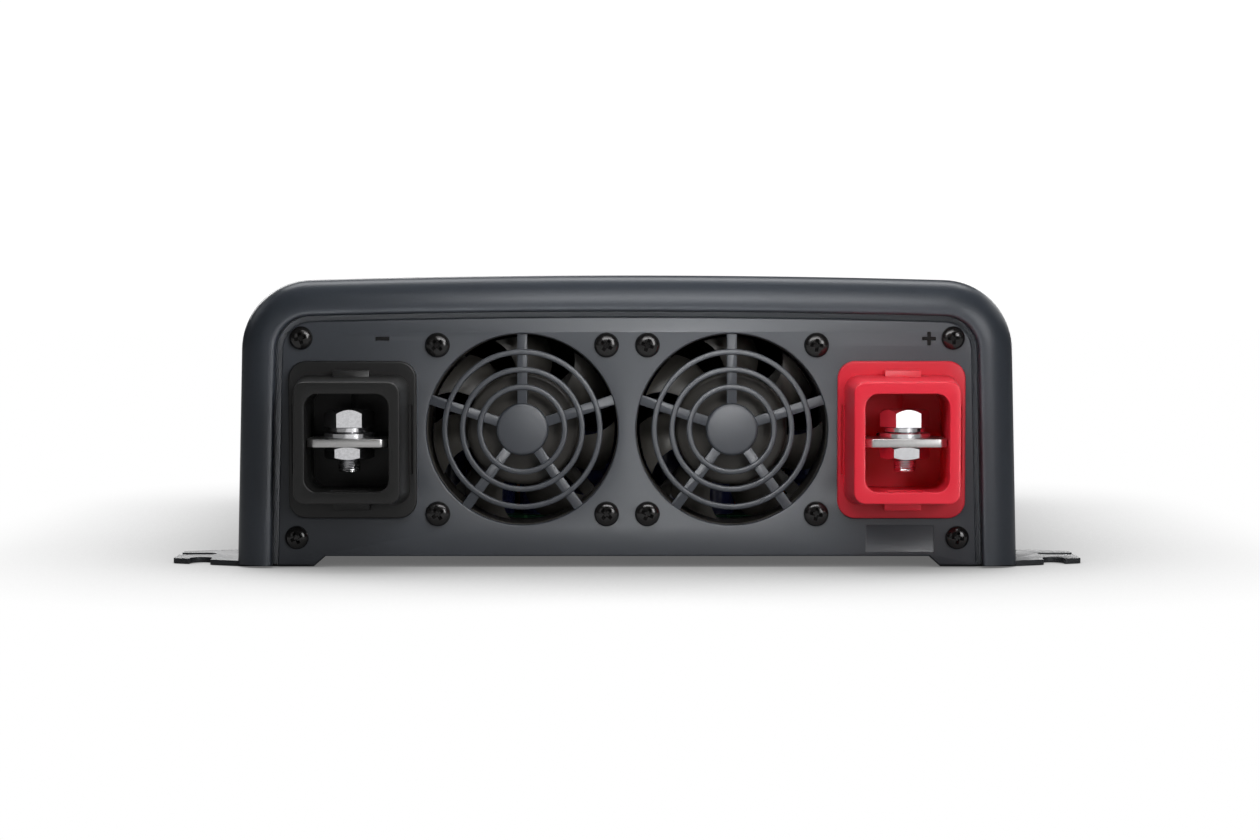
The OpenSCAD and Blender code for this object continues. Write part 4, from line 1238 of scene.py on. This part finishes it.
def fan_frame():
    """Square venturi with a round bore, corner pillars and a motor boss on four struts."""
    n = 16
    back = -FAN_DEEP

    def bore(grow, v):
        return at(facing_circle(FAN_BORE_R + grow, n), v)

    def square(inset, v):
        side = FAN_SIZE - 2 * inset
        return at(round_rect(side, side, 5 - inset, n), v)

    loops = [bore(0, back + 0.4), bore(0.4, back), square(0.3, back), square(0, back + 0.3),
             square(0, -0.3), square(0.3, 0), bore(0.4, 0), bore(0, -0.4)]
    shape = Shape().skin(loops, joined=True)
    hole = revolve([(0.01, back - 1), (FAN_HOLE_R, back - 1), (FAN_HOLE_R, 1), (0.01, 1)], 24)
    shape = boolean(shape, [Shape().merge(hole, shift(x, y, 0))
                            for x in (-FAN_HOLE_XY, FAN_HOLE_XY)
                            for y in (-FAN_HOLE_XY, FAN_HOLE_XY)])
    arm = back + 3
    boss = [(1.55, back + 1), (1.55, back + 1.2), (1.55, -9.3), (1.8, -9), (4.7, -9), (5, -9.3),
            (5, arm), (BOSS_R - 0.3, arm), (BOSS_R, arm - 0.3), (BOSS_R, back + 0.3),
            (BOSS_R - 0.3, back), (1.8, back)]
    shape.merge(revolve(boss, 64, joined=True))
    length = FAN_BORE_R - BOSS_R + 1.6
    strut = brick(length, 5, back, arm, 0.4, BOSS_R - 0.5 + length / 2)
    for k in range(4):
        shape.merge(strut, spun(math.pi / 4 + math.pi / 2 * k))
    return shape


frame_shape = fan_frame()
for word, side in (("left", -1), ("right", 1)):
    node_name = f"{word}_fan_frame"
    fan_front = DC_FACE - box_mm(node_name)[0][1]
    make_skin(node_name, frame_shape, "fan_plastic",
              place=DC_PLACE @ shift(side * FAN_X, FAN_Z, fan_front))


# ---- CAD nodes that keep their own shape ----

replaced = {n for o in bpy.data.objects if "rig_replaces" in o for n in o["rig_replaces"]}
slots = {s["node"]: s["material_slot"] for s in frame["record"]["subparts"]}
for node_name, obj in frame["nodes"].items():
    if node_name not in replaced:
        obj.data.materials.clear()
        obj.data.materials.append(MATERIALS[slots[node_name]])


# ---- Floor, lights and camera ----

FLOOR_HALF = 6
FLOOR_GREY = 0.3
# How much of the floor's glow shows in gloss, and how far the object shades it
FLOOR_IN_GLOSS = 0.2
SHADE_REACH = 0.13
SHADE_STOPS = ((0, 0.12), (0.53, 0.47), (0.72, 0.66), (0.84, 0.82), (1, 1))


def camera_mix(tree, share_in_gloss, unseen, seen):
    """One shader for what the camera sees, another for the light that is given off."""
    path = tree.nodes.new("ShaderNodeLightPath").outputs
    links = {0: path["Is Glossy Ray"], 2: path["Is Camera Ray"]}
    share = node(tree, "Math", {1: share_in_gloss}, links, "MULTIPLY_ADD")
    links = {0: share.outputs[0], 1: unseen.outputs[0], 2: seen.outputs[0]}
    return node(tree, "MixShader", {}, links).outputs[0]


def stage_floor():
    """White floor whose shadow is a soft dimming near the object."""
    mesh = bpy.data.meshes.new("floor")
    s = FLOOR_HALF
    mesh.from_pydata([(-s, -s, 0), (s, -s, 0), (s, s, 0), (-s, s, 0)], [], [(0, 1, 2, 3)])
    floor = into_scene(bpy.data.objects.new("floor", mesh))
    mat = bpy.data.materials.new("floor_white")
    mat.use_nodes = True
    tree = mat.node_tree
    tree.nodes.clear()
    dim = node(tree, "BsdfDiffuse", {"Color": (FLOOR_GREY, FLOOR_GREY, FLOOR_GREY, 1)}, {})
    shade = node(tree, "AmbientOcclusion", {"Distance": SHADE_REACH}, {})
    shade.samples = 16
    colour = ramp(tree, shade.outputs["AO"], [(p, (g, g, g)) for p, g in SHADE_STOPS])
    glow = node(tree, "Emission", {}, {"Color": colour})
    surface = camera_mix(tree, FLOOR_IN_GLOSS, dim, glow)
    node(tree, "OutputMaterial", {}, {"Surface": surface})
    mesh.materials.append(mat)


def area(name, where, target, size, power, gloss_only=False, lights=()):
    """A soft light. Given pieces, it is kept to them, as flags on a real set do."""
    data = bpy.data.lights.new(name, "AREA")
    data.shape = "RECTANGLE"
    data.size, data.size_y = size
    data.energy = power
    lamp = into_scene(bpy.data.objects.new(name, data))
    lamp.location = where
    lamp.rotation_euler = (Vector(target) - Vector(where)).to_track_quat("-Z", "Y").to_euler()
    lamp.visible_camera = False
    lamp.visible_diffuse = not gloss_only
    if lights:
        lit = bpy.data.collections.new(name + "_lights")
        for piece in lights:
            lit.objects.link(bpy.data.objects[piece])
        lamp.light_linking.receiver_collection = lit


def world():
    """White where it is seen, and a softer grey for the light that it gives."""
    w = bpy.data.worlds.new("studio")
    bpy.context.scene.world = w
    w.use_nodes = True
    tree = w.node_tree
    tree.nodes.clear()
    seen = node(tree, "Background", {"Color": (1, 1, 1, 1), "Strength": 1.05}, {})
    light = node(tree, "Background", {"Color": (1, 1, 1, 1), "Strength": 0.02}, {})
    node(tree, "OutputWorld", {}, {0: camera_mix(tree, 0, light, seen)})


stage_floor()
world()
FRONT = DC_FACE * MM
BACK = AC_FACE * MM
TARGET = (0, FRONT, 0.05)
area("front_right", (0.6, FRONT - 1.0, 0.3), TARGET, (0.3, 0.4), 2.7)
area("front_left", (-0.6, FRONT - 1.0, 0.3), TARGET, (0.3, 0.4), 0.2)
area("strip_over_panel", (0.03, FRONT - 0.15, 0.17), (0.02, FRONT, 0.07), (0.2, 0.04), 0.155)
area("right_back", (0.6, FRONT + 0.5, 0.4), (0.1, FRONT, 0.08), (0.3, 0.4), 0.7)
area("top_back", (0, FRONT + 0.25, 0.8), (0, FRONT, 0.1), (1.0, 0.3), 4.6)
area("over_middle", (0.02, FRONT - 0.2, 0.28), (0, FRONT, 0.09), (0.25, 0.06), 0.095)
area("panel_sheen", (0.03, FRONT - 0.3, 0.10), (0.03, FRONT, 0.07), (0.1, 0.04), 0.35, True,
     ("dc_end_panel_skin",))
area("lip_strip", (-0.03, FRONT - 0.5, 0.03), (-0.03, FRONT, 0.09), (0.4, 0.03), 0.5, True,
     ("dc_end_bezel_skin",))
area("back_fill", (-0.5, BACK + 1.0, 0.6), (0, BACK, 0.05), (0.9, 0.5), 7)
area("back_low", (0.5, BACK + 1.0, 0.25), (0, BACK, 0.05), (0.4, 0.4), 2.5)
area("left_side", (-1.2, 0.1, 0.8), (0, 0.05, 0.05), (0.7, 0.5), 0.8)
area("right_side", (1.2, 0.1, 0.8), (0, 0.05, 0.05), (0.7, 0.5), 1.1)
METAL = ("terminal_bolt_pair", "terminal_nut_pair", "flat_washer_pair", "spring_washer_pair",
         "negative_bus_bar_skin", "positive_bus_bar_skin")
area("wide_card", (0.03, FRONT - 0.4, 0.045), (0.03, FRONT, 0.045), (0.42, 0.08), 0.065, True,
     METAL)
area("bright_card", (0.22, FRONT - 0.4, 0.05), (0.097, FRONT, 0.05), (0.09, 0.09), 0.03, True,
     METAL)
area("red_card", (0.22, FRONT - 0.14, 0.02), (0.12, FRONT, 0.045), (0.06, 0.06), 0.10, False,
     ("positive_terminal_cap_skin",))

CAMERA_SIDE = 0.00106
CAMERA_OUT = 1.0
CAMERA_HIGH = 0.0987
PITCH_DOWN = 2.64
camera_data = bpy.data.cameras.new("camera")
camera_data.sensor_width = 36
camera_data.lens = 80.5
camera_data.clip_end = 50
camera = into_scene(bpy.data.objects.new("camera", camera_data))
camera.location = (CAMERA_SIDE, FRONT - CAMERA_OUT, CAMERA_HIGH)
camera.rotation_euler = (math.radians(90 - PITCH_DOWN), 0, 0)
bpy.context.scene.camera = camera
bpy.context.scene.view_settings.view_transform = "Standard"

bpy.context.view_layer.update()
